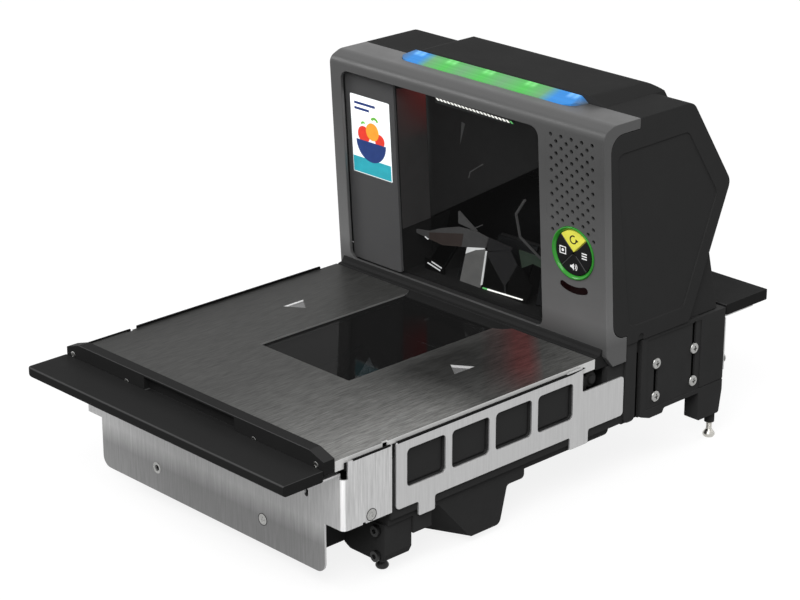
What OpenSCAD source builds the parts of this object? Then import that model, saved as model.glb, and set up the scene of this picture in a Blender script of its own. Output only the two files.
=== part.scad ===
// In-counter scanner-scale: scanner tower, weighing platter, tub and counter filler plates.
// X is the operator's right, Y points to the back, Z is up, in millimetres.

/* [Deck] */
// Height of the platter's top above the floor
deck_h = 107; // [104:1:120]
// Width of the platter
platter_w = 282; // [276:1:300]
// Depth of the platter, front to back
platter_d = 259; // [252:1:290]
// Depth of the flange around the platter
flange_h = 8; // [6:0.5:9]
// Gap between the platter's flange and the side plates
platter_gap = 1.3; // [0.8:0.1:2]
// Thickness of the steel sheets
sheet_t = 1.5; // [1:0.1:2]
// Width of the opening over the horizontal glass
window_w = 98; // [90:1:104]
// Distance from the platter's front edge to the opening over the glass
window_front = 100.7; // [96:0.1:125]
// Sideways place of the opening's middle
window_x = -3.5; // [-8:0.5:0]
// Distance from the opening to the platter's rear edge
window_rear = 10.2; // [8:0.2:12]
// Widening of the notch behind the opening, on each side
notch_flare = 12; // [6:0.5:16]
// Length of an arrow mark
arrow_l = 15; // [8:0.5:20]
// Width of an arrow mark
arrow_w = 21; // [12:0.5:26]
// Depth of an arrow mark
arrow_depth = 0.6; // [0.3:0.1:0.8]

/* [Glass and weighing] */
// Thickness of both glasses
glass_t = 3; // [2:0.2:4]
// Height of the rubber pads under the platter
pad_h = 3; // [2:0.5:4]
// Radius of the rubber pads
pad_r = 6; // [4:0.5:7]
// Height of the weighing frame's bars
spider_h = 8; // [6:0.5:10]
// Width of the weighing frame's bars
spider_w = 16; // [14:1:20]
// Length of the load cell
cell_l = 130; // [110:1:150]
// Width of the load cell
cell_w = 30; // [24:1:32]
// Height of the load cell
cell_h = 22; // [18:1:24]

/* [Base] */
// Height of the side plates without their tabs
plate_h = 51.3; // [48:0.5:54]
// Length of the tabs below the side plates
plate_tab = 11; // [6:0.5:14]
// Windows in one side plate
rib_windows = 4; // [3:1:4]
// Width of one window in the side plate
rib_w = 37.3; // [30:0.5:39]
// Height of one window in the side plate
rib_h = 28.8; // [20:0.5:30]
// Web between two windows
rib_gap = 6.4; // [4:0.2:8]
// Height of the tub
tub_h = 56; // [52:1:58]
// Wall of the mouldings in the base
tub_wall = 3; // [2:0.25:4]
// Length of the front bracket's side returns
return_l = 45.2; // [40:0.2:48]
// Height of the apron's foot above the floor
apron_foot = 14.5; // [10:0.5:24]
// Width of the apron's lower part
apron_w = 248.8; // [220:1:258]
// Distance between the two holes in the apron
apron_pitch = 118.6; // [90:0.2:140]
// Radius of the holes in the apron
apron_hole_r = 2.25; // [1.5:0.05:3]
// Depth of the sump below the tub
sump_h = 36; // [20:1:36]

/* [Legs and feet] */
// Height of the front legs' lower end above the floor
front_leg_z = 12; // [10:0.5:16]
// Height of the rear legs' lower end above the floor
rear_leg_z = 13; // [11:0.5:20]
// Radius of the feet's studs
stud_r = 2.4; // [2:0.1:3.5]
// Running gap between a stud and its bore
stud_gap = 0.05; // [0.03:0.01:0.1]
// Radius of the feet
foot_r = 4.9; // [4.2:0.1:6.5]
// Way of a foot's adjustment
foot_travel = 3; // [1:0.5:3]

/* [Fillers] */
// Depth of the front filler plate
front_filler_d = 35.6; // [25:0.1:60]
// Depth of the rear filler plate
rear_filler_d = 52.5; // [40:0.5:90]
// Thickness of the filler plates
filler_t = 8.6; // [6:0.2:9]
// How far the front filler plate stays inside the right side plate
front_inset = 1.6; // [0.2:0.1:6]
// How far the rear filler plate stays inside the side plates, on each side
rear_inset = 2.8; // [0.5:0.1:8]
// Depth of the rail in front of the platter
rail_d = 10; // [9:0.5:14]
// Height of the rail above the platter
rail_rise = 8; // [3:0.5:12]
// Length of the slope at each end of the rail
rail_slope = 15; // [8:1:25]

/* [Tower] */
// Height of the tower above the platter
tower_h = 178; // [176:1:184]
// Depth of the tower at its widest
tower_d = 133; // [128:1:145]
// How far the tower stands out over the side plates, on each side
tower_over = 1.2; // [1:0.1:2]
// Forward lean of the tower's face in degrees
lean = 3.5; // [2:0.25:5]
// Wall of the tower bezel
bezel_wall = 3; // [2.4:0.1:3.4]
// Wall of the tower shell
shell_wall = 2.5; // [2:0.1:3]
// Seam between bezel and shell
seam = 0.3; // [0.2:0.05:0.5]
// Grey frame left of the tower's opening
pane_margin = 12; // [10:0.5:18]
// Width of the control panel
panel_w = 54; // [52:0.5:60]
// Grey frame between the opening and the control panel
pane_gap = 6; // [5:0.5:10]
// Lower edge of the tower's opening above the platter
pane_h0 = 5; // [5:0.25:12]
// Upper edge of the tower's opening above the platter
pane_h1 = 165; // [155:0.5:166]
// Width of the display
display_w = 44.8; // [36:0.2:50]
// Height of the display
display_h = 65.6; // [50:0.2:72]
// Width of the status light bar
light_w = 188; // [150:1:200]
// Height of the top cover
cover_h = 6; // [3:0.2:6.4]

/* [Control panel] */
// Radius of the key ring
ring_r = 20.75; // [18:0.25:21.5]
// Radius of the round field of keys
key_r = 17.4; // [14:0.1:17.5]
// Gap between the keys
key_gap = 0.8; // [0.5:0.1:1.5]
// Travel of a key
key_travel = 0.8; // [0.4:0.1:1]
// Radius of a speaker hole
grille_r = 1.6; // [0.8:0.1:1.7]
// Columns of speaker holes
grille_columns = 9; // [5:2:9]

/* [Scan engine] */
// Radius of the spinning mirror polygon
polygon_r = 17; // [13:0.5:19]
// Height of the spinning mirror polygon
polygon_h = 9; // [6:0.5:12]
// Radius of the motor's shaft
shaft_r = 2; // [1.5:0.1:2.5]
// Running gap between the shaft and the polygon's bore
shaft_gap = 0.05; // [0.03:0.01:0.1]
// Thickness of the mirrors
mirror_t = 3; // [2:0.25:4]

/* [Hidden] */
$fn = 48;
corner_steps = 6;
fit = 0.15;

// Places along X
base_w = platter_w + 2 * (platter_gap + sheet_t);
plate_x = base_w / 2;
tub_x = plate_x - sheet_t;
tower_x = plate_x + tower_over;
tower_in = tower_x - 2.5;
low_inset = 2.3;
rib_x = plate_x - 50.8;
front_filler_x0 = -tower_x;
front_filler_x1 = plate_x - front_inset;
rear_filler_x = plate_x - rear_inset;

// Places along Y
filler_gap = 0.4;
rail_gap = 1;
sill_d = 8.5;
rear_gap = 10.4;
total_d = front_filler_d + filler_gap + rail_d + rail_gap + platter_d + sill_d + tower_d + rear_gap
    + rear_filler_d;
front_y = -total_d / 2;
filler_y1 = front_y + front_filler_d;
rail_y0 = filler_y1 + filler_gap;
rail_y1 = rail_y0 + rail_d;
plat_y0 = rail_y1 + rail_gap;
plat_y1 = plat_y0 + platter_d;
tower_y = plat_y1 + sill_d;
apex_y = tower_y + tower_d;
rear_y0 = apex_y + rear_gap;
rear_y1 = total_d / 2;
apron_y = plat_y0 + 5;
return_y = apron_y + return_l;
plate_y0 = return_y + 4;
tub_y0 = return_y - 0.2;
tub_y1 = tower_y + 22.7;
win_y1 = plat_y1 - window_rear;
win_y0 = plat_y0 + window_front;
base_y1 = tower_y + 109.2;

// Places along Z
tub_top = deck_h - flange_h - 1.5;
tub_z = tub_top - tub_h;
tub_floor = tub_z + tub_wall;
plate_top = deck_h - 2.4;
plate_z = plate_top - plate_h;
ledge_z = tub_top - 50.8;
shelf_top = deck_h - 11.4;
filler_top = shelf_top + filler_t;
bench_z = deck_h + 3;
bench_t = 3;
tower_top = deck_h + tower_h;
pad_top = deck_h - sheet_t;
spider_top = pad_top - pad_h;
spider_z = spider_top - spider_h;
spacer_t = 2;
cell_top = spider_z - spacer_t;
cell_z = cell_top - cell_h;
frame_top = deck_h - sheet_t - 0.3;
frame_z = deck_h - 8.4;
rear_z = tub_z + 3.5;

// Tower, places on the leaning face
opening_r = 8;
panel_x1 = tower_x - 5;
panel_x0 = panel_x1 - panel_w;
pane_x1 = panel_x0 - pane_gap;
pane_x0 = pane_margin - tower_x;
panel_h0 = 38;
panel_h1 = 167;
panel_t = 2;
ledge_w = 3;
ring_x = (panel_x0 + panel_x1) / 2;
ring_h = 74.7;
slot_arc_r = 29.5;
slot_arc = 22;
key_top_d = 0.4;
key_back_d = key_top_d + 4;
board_d = key_back_d + key_travel + 0.4;
screen_x0 = pane_x0 + 3;
screen_h0 = pane_h1 - 19.8 - display_h;
screen_panel_x1 = screen_x0 + display_w + 5.7;
strip_front = 7.6;
strip_top = 8;
strip_end = 29;
low_end = 22;
low_top = 10.6;
light_y0 = tower_y + 12.6;
light_y1 = tower_y + strip_end;
light_r = 13;

// Legs
front_stud = 19;
rear_stud = 26;
leg_x = plate_x - 20.8;
leg_y = tub_y0 + 10.2;
rear_foot_x = plate_x - 6.8;
rear_foot_y = tower_y + 133.5;
rear_leg_y0 = base_y1 + 0.8;
rear_leg_y1 = tower_y + 138.6;
bolt_zs = [front_leg_z + 4.5, tub_z - 5.5];

// Scan engine
engine_x = plate_x - 103.8;
engine_y = tub_y1 + 40;
engine_z = rear_z + tub_wall;

// Corner of a polygon with its arc: a is the point before, b the corner, c the point after
function unit(v) = v / norm(v);
function turn(u, w) = atan2(u[0] * w[1] - u[1] * w[0], u * w);
function corner(a, b, c, r) =
    let (u = unit(b - a), w = unit(c - b), t = turn(u, w), s = sign(t),
        cut = r * tan(abs(t) / 2), start = b - u * cut, mid = start + s * r * [-u[1], u[0]])
    r <= 0 ? [b] : [for (i = [0 : corner_steps])
        let (q = t * i / corner_steps, v = start - mid)
        mid + [v[0] * cos(q) - v[1] * sin(q), v[0] * sin(q) + v[1] * cos(q)]];
function rounded(p, r) =
    let (n = len(p))
    [for (i = [0 : n - 1]) each corner(p[(i + n - 1) % n], p[i], p[(i + 1) % n], r[i])];

// Polygon with each edge moved inward by its own distance
function moved(p, i, d) =
    let (n = len(p), u = unit(p[(i + 1) % n] - p[i])) p[i] + d * [-u[1], u[0]];
function crossing(p, u, q, v) = p + u * (((q - p) * [v[1], -v[0]]) / (u * [v[1], -v[0]]));
function inset(p, d) =
    let (n = len(p))
    [for (i = [0 : n - 1])
        let (k = (i + n - 1) % n)
        crossing(moved(p, k, d[k]), p[i] - p[k], moved(p, i, d[i]), p[(i + 1) % n] - p[i])];

// Point of the tower's side view: h up the leaning face, d behind it
function face_point(h, d) =
    [tower_y - h * sin(lean) + d * cos(lean), deck_h + h * cos(lean) + d * sin(lean)];
// Point d behind the face at the height z
function face_at(z, d) =
    [tower_y + d / cos(lean) - (z - deck_h) * tan(lean), z];

// Side profile in Y and Z, run along X to both sides
module along_x(half) {
    translate([-half, 0, 0]) rotate([90, 0, 90]) linear_extrude(2 * half) children();
}
// Side profile in Y and Z, run along X from x0 to x1
module span_x(x0, x1) {
    translate([x0, 0, 0]) rotate([90, 0, 90]) linear_extrude(x1 - x0) children();
}
// Front profile in X and Z, run along Y
module along_y(y0, y1) {
    translate([0, y1, 0]) rotate([90, 0, 0]) linear_extrude(y1 - y0) children();
}
module box(x0, x1, y0, y1, z0, z1) {
    translate([x0, y0, z0]) cube([x1 - x0, y1 - y0, z1 - z0]);
}
module both_sides() {
    children();
    mirror([1, 0, 0]) children();
}
// Frame of the tower's face: x to the right, y behind the face, z up the face
module on_face() {
    translate([0, tower_y, deck_h]) rotate([lean, 0, 0]) children();
}
// Disc or ring axis behind the face, at the keys
module at_keys(d0, d1) {
    on_face() translate([ring_x, d1, ring_h]) rotate([90, 0, 0]) linear_extrude(d1 - d0) children();
}
module rounded_box(x0, x1, z0, z1, r) {
    polygon(rounded([[x0, z0], [x1, z0], [x1, z1], [x0, z1]], [r, r, r, r]));
}
// Plate on the face with rounded corners
module face_plate(x0, x1, h0, h1, d0, d1, r) {
    on_face() along_y(d0, d1) rounded_box(x0, x1, h0, h1, r);
}

// Weighing deck

module window_outline() {
    flare_y = plat_y1 - window_rear + 3.8;
    half = window_w / 2;
    polygon([
        [window_x - half, win_y0], [window_x + half, win_y0], [window_x + half, win_y1],
        [-window_x + half, flare_y], [-window_x + half + notch_flare / 2, plat_y1 + 3],
        [window_x - half - notch_flare / 2, plat_y1 + 3], [window_x - half, flare_y]
    ]);
}

module arrow(side) {
    tip = window_x - 1.2 + side * (window_w / 2 + 30.2);
    foot = tip + side * arrow_l;
    mid = win_y0 + 74.1;
    polygon([[tip, mid], [foot, mid + arrow_w / 2], [foot, mid - arrow_w / 2]]);
}

module platter() {
    half = platter_w / 2;
    edge_notch = 44;
    color("gray") difference() {
        box(-half, half, plat_y0, plat_y1, deck_h - flange_h, deck_h);
        box(-half + sheet_t, half - sheet_t, plat_y0 + sheet_t, plat_y1 - sheet_t,
            deck_h - flange_h - 1, deck_h - sheet_t);
        translate([0, 0, deck_h - flange_h - 1]) linear_extrude(flange_h + 2) window_outline();
        translate([0, 0, deck_h - arrow_depth]) linear_extrude(1) {
            arrow(1);
            arrow(-1);
        }
        both_sides() box(half - 1.7, half + 1, plat_y0 + edge_notch, plat_y0 + edge_notch + 5,
            deck_h - flange_h - 1, deck_h + 1);
    }
}

bar_x = platter_w / 2 - 45;
pad_y0 = plat_y0 + 28;
pad_y1 = plat_y1 - 22;
cell_y = tub_y0 + 23.2;

module platter_pads() {
    color("dimgray") for (y = [pad_y0, pad_y1]) both_sides()
        translate([bar_x + spider_w / 2, y, spider_top]) cylinder(r = pad_r, h = pad_h);
}

module weigh_frame() {
    color("silver") {
        both_sides() box(bar_x, bar_x + spider_w, plat_y0 + 18, plat_y1 - 10, spider_z, spider_top);
        box(-bar_x, bar_x, cell_y - cell_w / 2, cell_y + cell_w / 2, spider_z, spider_top);
        box(-bar_x, bar_x, plat_y0 + 18, plat_y0 + 30, spider_z, spider_top);
    }
}

module load_cell() {
    eye_r = cell_h / 2 - 3;
    color("silver") difference() {
        box(-cell_l / 2, cell_l / 2, cell_y - cell_w / 2, cell_y + cell_w / 2, cell_z, cell_top);
        for (x = [-0.85 * eye_r, 0.85 * eye_r])
            translate([x, cell_y, (cell_z + cell_top) / 2]) rotate([90, 0, 0])
                cylinder(r = eye_r, h = cell_w + 2, center = true);
    }
}

module load_cell_spacers() {
    color("gray") {
        box(cell_l / 2 - 30, cell_l / 2, cell_y - cell_w / 2, cell_y + cell_w / 2, cell_top, spider_z);
        box(-cell_l / 2, -cell_l / 2 + 30, cell_y - cell_w / 2, cell_y + cell_w / 2,
            cell_z - spacer_t, cell_z);
    }
}

// Window frame, glass and optics under the deck

frame_rim = 6.4;
well_x0 = window_x - window_w / 2 - frame_rim;
well_x1 = window_x + window_w / 2 + frame_rim;
well_y0 = win_y0 - frame_rim;
well_y1 = win_y1 + frame_rim;
glass_rim = 2;

module window_frame() {
    color("dimgray") difference() {
        box(well_x0, well_x1, well_y0, well_y1, frame_z, frame_top);
        box(well_x0 + frame_rim + 1, well_x1 - frame_rim - 1, well_y0 + frame_rim + 1,
            well_y1 - frame_rim - 1, frame_z - 1, frame_top + 1);
        box(well_x0 + frame_rim - glass_rim, well_x1 - frame_rim + glass_rim,
            well_y0 + frame_rim - glass_rim, well_y1 - frame_rim + glass_rim,
            frame_top - glass_t, frame_top + 1);
    }
}

module deck_glass() {
    inner = frame_rim - glass_rim + fit;
    color("slategray") box(well_x0 + inner, well_x1 - inner, well_y0 + inner, well_y1 - inner,
        frame_top - glass_t, frame_top);
}

module rear_sill() {
    top = deck_h - 0.3;
    low = tub_top + 0.3;
    half = window_w / 2;
    strip_y0 = plat_y1 + 0.8;
    color("dimgray") {
        along_x(platter_w / 2) polygon([
            [strip_y0, low], [tower_y + 6.6, low], [tower_y - 0.4, deck_h - 0.9], [tower_y - 0.4, top],
            [strip_y0, top]
        ]);
        translate([0, 0, frame_top]) linear_extrude(top - frame_top) polygon([
            [window_x - half + 0.6, win_y1 + 1], [window_x + half - 0.6, win_y1 + 1],
            [-window_x + half - 0.9, win_y1 + 4.6],
            [-window_x + half + notch_flare / 2 - 1.6, strip_y0 + 0.1],
            [window_x - half - notch_flare / 2 + 1.6, strip_y0 + 0.1],
            [window_x - half + 0.6, win_y1 + 4.6]
        ]);
    }
}

// Wedge that carries a mirror: its slope faces local -y, tilt measured from the floor
module mirror_seat(w, h, tilt) {
    run = h / tan(tilt);
    along_x(w / 2) polygon([[0, 0], [run + 2, 0], [run + 2, h], [run, h]]);
}
module mirror_plate(w, h, tilt) {
    run = h / tan(tilt);
    lift = mirror_t * [-sin(tilt), cos(tilt)];
    along_x(w / 2) polygon([[0, 0], [run, h], [run, h] + lift, lift]);
}

well_floor = tub_floor + 2.5;
module base_mirror_places() {
    mid_y = (win_y0 + win_y1) / 2;
    translate([window_x, win_y0 + 22, well_floor]) rotate([0, 0, 180]) children(0);
    translate([window_x - 24, mid_y + 6, well_floor]) rotate([0, 0, 90 + 12]) children(1);
    translate([window_x + 24, mid_y + 6, well_floor]) rotate([0, 0, -90 - 12]) children(1);
    translate([window_x, win_y1 - 26, well_floor]) children(2);
}

module optics_chassis() {
    color("dimgray") {
        difference() {
            box(well_x0, well_x1, well_y0, well_y1, tub_floor, frame_z);
            box(well_x0 + 2.5, well_x1 - 2.5, well_y0 + 2.5, well_y1 - 2.5, well_floor, frame_z + 1);
        }
        base_mirror_places() {
            mirror_seat(84, 28, 62);
            mirror_seat(56, 30, 58);
            mirror_seat(70, 34, 66);
        }
    }
}

module base_mirrors() {
    color("lightgray") base_mirror_places() {
        mirror_plate(80, 27, 62);
        mirror_plate(52, 29, 58);
        mirror_plate(66, 33, 66);
    }
}

// Base: tub, plates, front bracket

tall_y1 = plate_y0 + 20.8 + rib_windows * rib_w + (rib_windows - 1) * rib_gap;

module plate_outline() {
    step_z = plate_top - 18.8;
    tab_z = plate_z - plate_tab;
    polygon(rounded([
        [plate_y0, plate_z], [plate_y0 + 21.6, plate_z], [plate_y0 + 21.6, tab_z],
        [plate_y0 + 37.5, tab_z], [plate_y0 + 37.5, plate_z], [tall_y1 - 12.8, plate_z],
        [tall_y1 - 12.8, tab_z + 1], [tall_y1 + 7, tab_z + 1], [tall_y1 + 7, plate_z + 0.9],
        [tub_y1 - 1.3, plate_z + 0.9], [tub_y1 - 1.3, step_z], [tall_y1, step_z],
        [tall_y1, plate_top + 1.6], [tall_y1 - 13, plate_top + 1.6], [tall_y1 - 17, plate_top],
        [plate_y0, plate_top]
    ], [3.5, 2, 1.5, 1.5, 2, 2, 1.5, 1.5, 2, 3, 3, 2, 3, 1, 1, 3.5]));
}

module rib_openings() {
    low = plate_z + 14.4;
    for (i = [0 : rib_windows - 1]) {
        y = plate_y0 + 10.4 + i * (rib_w + rib_gap);
        rounded_box(y, y + rib_w, low, low + rib_h, 3.5);
    }
}

module side_plate() {
    span_x(tub_x, plate_x) difference() {
        plate_outline();
        rib_openings();
    }
}
module side_plate_right() {
    color("silver") side_plate();
}
module side_plate_left() {
    color("silver") mirror([1, 0, 0]) side_plate();
}

module sump_outline() {
    y0 = tub_y0 + 49.3;
    low = tub_z - sump_h;
    polygon(rounded([
        [y0, tub_z], [y0 + 32, low], [y0 + 62, low], [y0 + 69.3, tub_z - 7], [y0 + 87, tub_z - 7],
        [y0 + 87, tub_z]
    ], [0, 4, 5, 3, 3, 0]));
}

// Front of the sump: it runs forward towards the middle, and is cut off square there
module sump_nose(half) {
    y0 = tub_y0 + 50.3;
    y1 = y0 + 44;
    low = tub_z - sump_h + 0.5;
    top = tub_z + 1;
    slope = 32;
    skew = 25;
    reach = 78;
    front = y0 - reach * tan(skew) + 0.6;
    both_sides() intersection() {
        box(half - reach, half - 1, tub_y0 + 8, y1, low, top);
        translate([half, y0, 0]) rotate([0, 0, skew]) span_x(-200, 60) polygon([
            [0, tub_z], [slope * cos(skew), low - 1], [90, low - 1], [90, top + 1], [0, top + 1]
        ]);
    }
    along_x(half - reach + 1) polygon([
        [front, tub_z], [front + slope, low + 0.3], [y1 - 1, low + 0.3], [y1 - 1, top - 0.3], [front, top - 0.3]
    ]);
}

module base_tub() {
    low_x = tub_x - low_inset;
    boss_x = -cell_l / 2;
    beam_y = tower_y + 8;
    color("dimgray") difference() {
        union() {
            box(-tub_x, tub_x, tub_y0, tub_y1, ledge_z, tub_top);
            along_x(low_x) polygon(rounded([
                [tub_y0, tub_z], [tub_y1 - 13, tub_z], [tub_y1 - 13, ledge_z], [tub_y0, ledge_z]
            ], [0, 4, 0, 0]));
            box(-low_x, low_x, tub_y0 + 24.2, tub_y0 + 42, tub_z - 13.5, tub_z);
            along_x(low_x) sump_outline();
            sump_nose(low_x);
        }
        difference() {
            box(-low_x + tub_wall, low_x - tub_wall, tub_y0 + tub_wall, beam_y, tub_floor, tub_top + 1);
            box(boss_x - 2, boss_x + 32, cell_y - cell_w / 2, cell_y + cell_w / 2, tub_z,
                cell_z - spacer_t);
        }
        translate([0, tub_y0 + 100, 0]) box(-low_x + tub_wall, low_x - tub_wall, -12, 9,
            tub_z - sump_h + 4, tub_floor + 1);
        box(-tub_x - 1, tub_x + 1, tub_y0 - 1, tub_y0 + tub_wall + 1, spider_z - 1.5, tub_top + 1);
        both_sides() box(low_x - 5, tub_x + 1, tall_y1, beam_y - 4, plate_top - 22, tub_top + 1);
        both_sides() span_x(tub_x - 3, tub_x + 1) rib_openings();
    }
}

module bracket_plan(grow) {
    x = plate_x - grow;
    y = apron_y + grow;
    r = 4 - grow;
    end = return_y + grow;
    polygon(rounded([[-x, end], [-x, y], [x, y], [x, end]], [0, r, r, 0]));
}

module front_bracket() {
    rim = 4.6;
    slot_x = plate_x - 39.7;
    slot_z = plate_z + 14.4;
    color("silver") difference() {
        union() {
            translate([0, 0, plate_z]) linear_extrude(plate_h) difference() {
                bracket_plan(0);
                bracket_plan(sheet_t);
            }
            along_y(apron_y, apron_y + sheet_t) rounded_box(-apron_w / 2, apron_w / 2, apron_foot,
                plate_z + 20, 8);
            box(-plate_x + rim, plate_x - rim, apron_y, apron_y + sheet_t, plate_z, shelf_top);
            box(-plate_x + rim, plate_x - rim, front_y + 16, apron_y + sheet_t,
                shelf_top - sheet_t, shelf_top);
        }
        box(-plate_x + rim, plate_x - rim, apron_y - 1, apron_y + sheet_t + 0.5, shelf_top, plate_top + 1);
        both_sides() box(plate_x - rim, plate_x + 1, apron_y - 1, apron_y + rim, shelf_top - 4,
            plate_top + 1);
        both_sides() {
            translate([apron_pitch / 2, apron_y, apron_foot + 19]) rotate([90, 0, 0])
                cylinder(r = apron_hole_r, h = 10, center = true);
            along_y(apron_y - 1, apron_y + sheet_t + 1)
                rounded_box(slot_x, slot_x + 3.8, slot_z, slot_z + 6.2, 1.7);
            translate([plate_x, apron_y + 25.8, plate_z + 5.1]) rotate([0, 90, 0])
                cylinder(r = 2, h = 10, center = true);
            box(plate_x - 5, plate_x + 1, apron_y + 17.8, apron_y + 20.6, plate_z - 1, plate_z + 1.4);
        }
    }
}

module front_frame() {
    bar = 6;
    wing = 5;
    back = tub_y0;
    color("dimgray") difference() {
        union() {
            box(-rib_x - 4, rib_x + 4, apron_y + sheet_t, apron_y + sheet_t + bar, 20, deck_h - 20);
            both_sides() box(rib_x, rib_x + 4, apron_y + sheet_t, back, 16, deck_h - 20);
            both_sides() box(rib_x, tub_x - sheet_t, back - wing, back, plate_z + 2, deck_h - 20);
            both_sides() box(tub_x - 12, tub_x, apron_y + 20, back, plate_z + 2, deck_h - 30);
        }
        translate([-apron_pitch / 2, apron_y, apron_foot + 19]) rotate([90, 0, 0])
            cylinder(r = apron_hole_r + 1.75, h = 40, center = true);
        translate([apron_pitch / 2, apron_y, apron_foot + 19]) rotate([90, 0, 0])
            cylinder(r = apron_hole_r, h = 40, center = true);
        both_sides() translate([plate_x, apron_y + 25.8, plate_z + 5.1]) rotate([0, 90, 0])
            cylinder(r = 2, h = 20, center = true);
    }
}

module apron_screws() {
    color("silver") {
        translate([apron_pitch / 2, apron_y, apron_foot + 19]) rotate([90, 0, 0]) {
            cylinder(r = 4.6, h = 0.3);
            translate([0, 0, -7]) cylinder(r = apron_hole_r - fit, h = 7.2);
        }
        both_sides() translate([plate_x, apron_y + 25.8, plate_z + 5.1]) rotate([0, 90, 0]) {
            cylinder(r = 4, h = 0.3);
            translate([0, 0, -7]) cylinder(r = 2 - fit, h = 7.2);
        }
    }
}

// Legs and feet

module front_leg() {
    x0 = rib_x + 4;
    x1 = plate_x - 5.4;
    y0 = tub_y0 - 1.8;
    y1 = tub_y0 + 24;
    difference() {
        along_y(y0, y1) polygon(rounded([
            [x0, front_leg_z + 3], [x0 + 6, front_leg_z], [x1 - 3, front_leg_z], [x1, front_leg_z + 6],
            [x1, tub_z], [x0, tub_z]
        ], [1, 2, 2, 2, 0, 0]));
        translate([leg_x, leg_y, front_leg_z - 1])
            cylinder(r = stud_r + stud_gap, h = front_stud + foot_travel + 2);
        for (z = bolt_zs) translate([plate_x - 12.8, y0, z])
            rotate([90, 0, 0]) cylinder(r = 2, h = 14, center = true);
    }
}
module front_leg_right() {
    color("dimgray") front_leg();
}
module front_leg_left() {
    color("dimgray") mirror([1, 0, 0]) front_leg();
}

module leg_bolts() {
    color("gray") both_sides() for (z = bolt_zs)
        translate([plate_x - 12.8, tub_y0 - 1.8, z]) rotate([90, 0, 0]) difference() {
            union() {
                cylinder(r = 4, h = 3.4);
                translate([0, 0, -6]) cylinder(r = 2 - fit, h = 6.2);
            }
            translate([0, 0, 1.8]) cylinder(r = 2, h = 3, $fn = 6);
        }
}

module foot(top) {
    rotate_extrude() polygon([
        [0, 0], [foot_r - 1.4, 0], [foot_r, 2], [foot_r, 3.4], [stud_r, 6.4], [stud_r, top], [0, top]
    ]);
}
module foot_front_right() {
    color("gray") translate([leg_x, leg_y, 0]) foot(front_leg_z + front_stud);
}
module foot_front_left() {
    color("gray") translate([-leg_x, leg_y, 0]) foot(front_leg_z + front_stud);
}
module foot_rear_right() {
    color("gray") translate([rear_foot_x, rear_foot_y, 0]) foot(rear_leg_z + rear_stud);
}
module foot_rear_left() {
    color("gray") translate([-rear_foot_x, rear_foot_y, 0]) foot(rear_leg_z + rear_stud);
}

// Rail and fillers

module produce_rail() {
    half = plate_x - 1.8;
    low = deck_h - 7;
    top = deck_h + rail_rise;
    foot_half = half - 12;
    color("dimgray") difference() {
        union() {
            intersection() {
                along_x(half) polygon(rounded([
                    [rail_y0, low], [rail_y1, low], [rail_y1, top], [rail_y0, top]
                ], [1, 0, 0.6, 0.6]));
                along_y(rail_y0 - 1, rail_y1 + 1) polygon([
                    [-half, low - 1], [half, low - 1], [half, deck_h + 3], [half - rail_slope, top],
                    [-half + rail_slope, top], [-half, deck_h + 3]
                ]);
            }
            box(-foot_half, foot_half, rail_y0 + 2, rail_y1 - 1, shelf_top, low + 0.5);
        }
        along_y(rail_y0 - 1, rail_y0 + 5) rounded_box(-50, 50, deck_h - 4, top - 1.5, 1);
        both_sides() for (place = rail_screw_places) rail_screw_place(place)
            cylinder(r = rail_screw_r, h = 14, center = true);
    }
}

// Screws in the rail's front: place across and height above the filler plate
rail_screw_places = [[plate_x - 9.4, 1.5], [plate_x - 73.4, -1]];
rail_screw_r = 1.2;

module rail_screw_place(place) {
    translate([place[0], rail_y0, filler_top + place[1]]) rotate([90, 0, 0]) children();
}

module rail_screws() {
    color("gray") both_sides() for (place = rail_screw_places) rail_screw_place(place) {
        cylinder(r = 2.5, h = filler_gap - 0.1);
        translate([0, 0, -6]) cylinder(r = rail_screw_r - fit, h = 6.2);
    }
}

// Filler plate: a rounded bar, with the corners in plan rounded by the radii in plan
module filler_plate(x0, x1, y0, y1, z0, radii, plan) {
    z1 = z0 + filler_t;
    intersection() {
        span_x(x0, x1) polygon(rounded([[y0, z0], [y1, z0], [y1, z1], [y0, z1]], radii));
        translate([0, 0, z0 - 1]) linear_extrude(filler_t + 2)
            polygon(rounded([[x0, y0], [x1, y0], [x1, y1], [x0, y1]], plan));
    }
}

module front_filler() {
    color("dimgray") filler_plate(front_filler_x0, front_filler_x1, front_y, filler_y1, shelf_top,
        [3, 1, 0.6, 0.8], [6, 1.5, 1, 1]);
}

rear_shelf = deck_h - 6.4;
rear_screw_x = rear_filler_x - 40;
rear_screw_y = rear_y0 + 20;
tab_screw_x = plate_x - 3.5;
tab_screw_z = deck_h - 41;

module rear_filler() {
    color("dimgray") difference() {
        filler_plate(-rear_filler_x, rear_filler_x, rear_y0, rear_y1, rear_shelf, [1, 3, 3.4, 1],
            [0.5, 0.5, 4, 4]);
        both_sides() translate([rear_screw_x, rear_screw_y, rear_shelf - 1])
            cylinder(r = 1.5, h = filler_t - 1.6);
    }
}

module rear_filler_bracket() {
    half = rear_filler_x - 1;
    wall_x = plate_x - 0.2;
    wall_y = rear_leg_y1;
    color("silver") difference() {
        union() {
            both_sides() box(wall_x - 44, wall_x, wall_y, wall_y + sheet_t, deck_h - 50, rear_shelf - 0.4);
            box(-half, half, wall_y, rear_y0 + 34, rear_shelf - sheet_t, rear_shelf);
        }
        both_sides() translate([tab_screw_x, wall_y, tab_screw_z]) rotate([90, 0, 0])
            cylinder(r = 1.8, h = 8, center = true);
        both_sides() translate([rear_screw_x, rear_screw_y, rear_shelf]) cylinder(r = 1.5, h = 8, center = true);
    }
}

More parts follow.
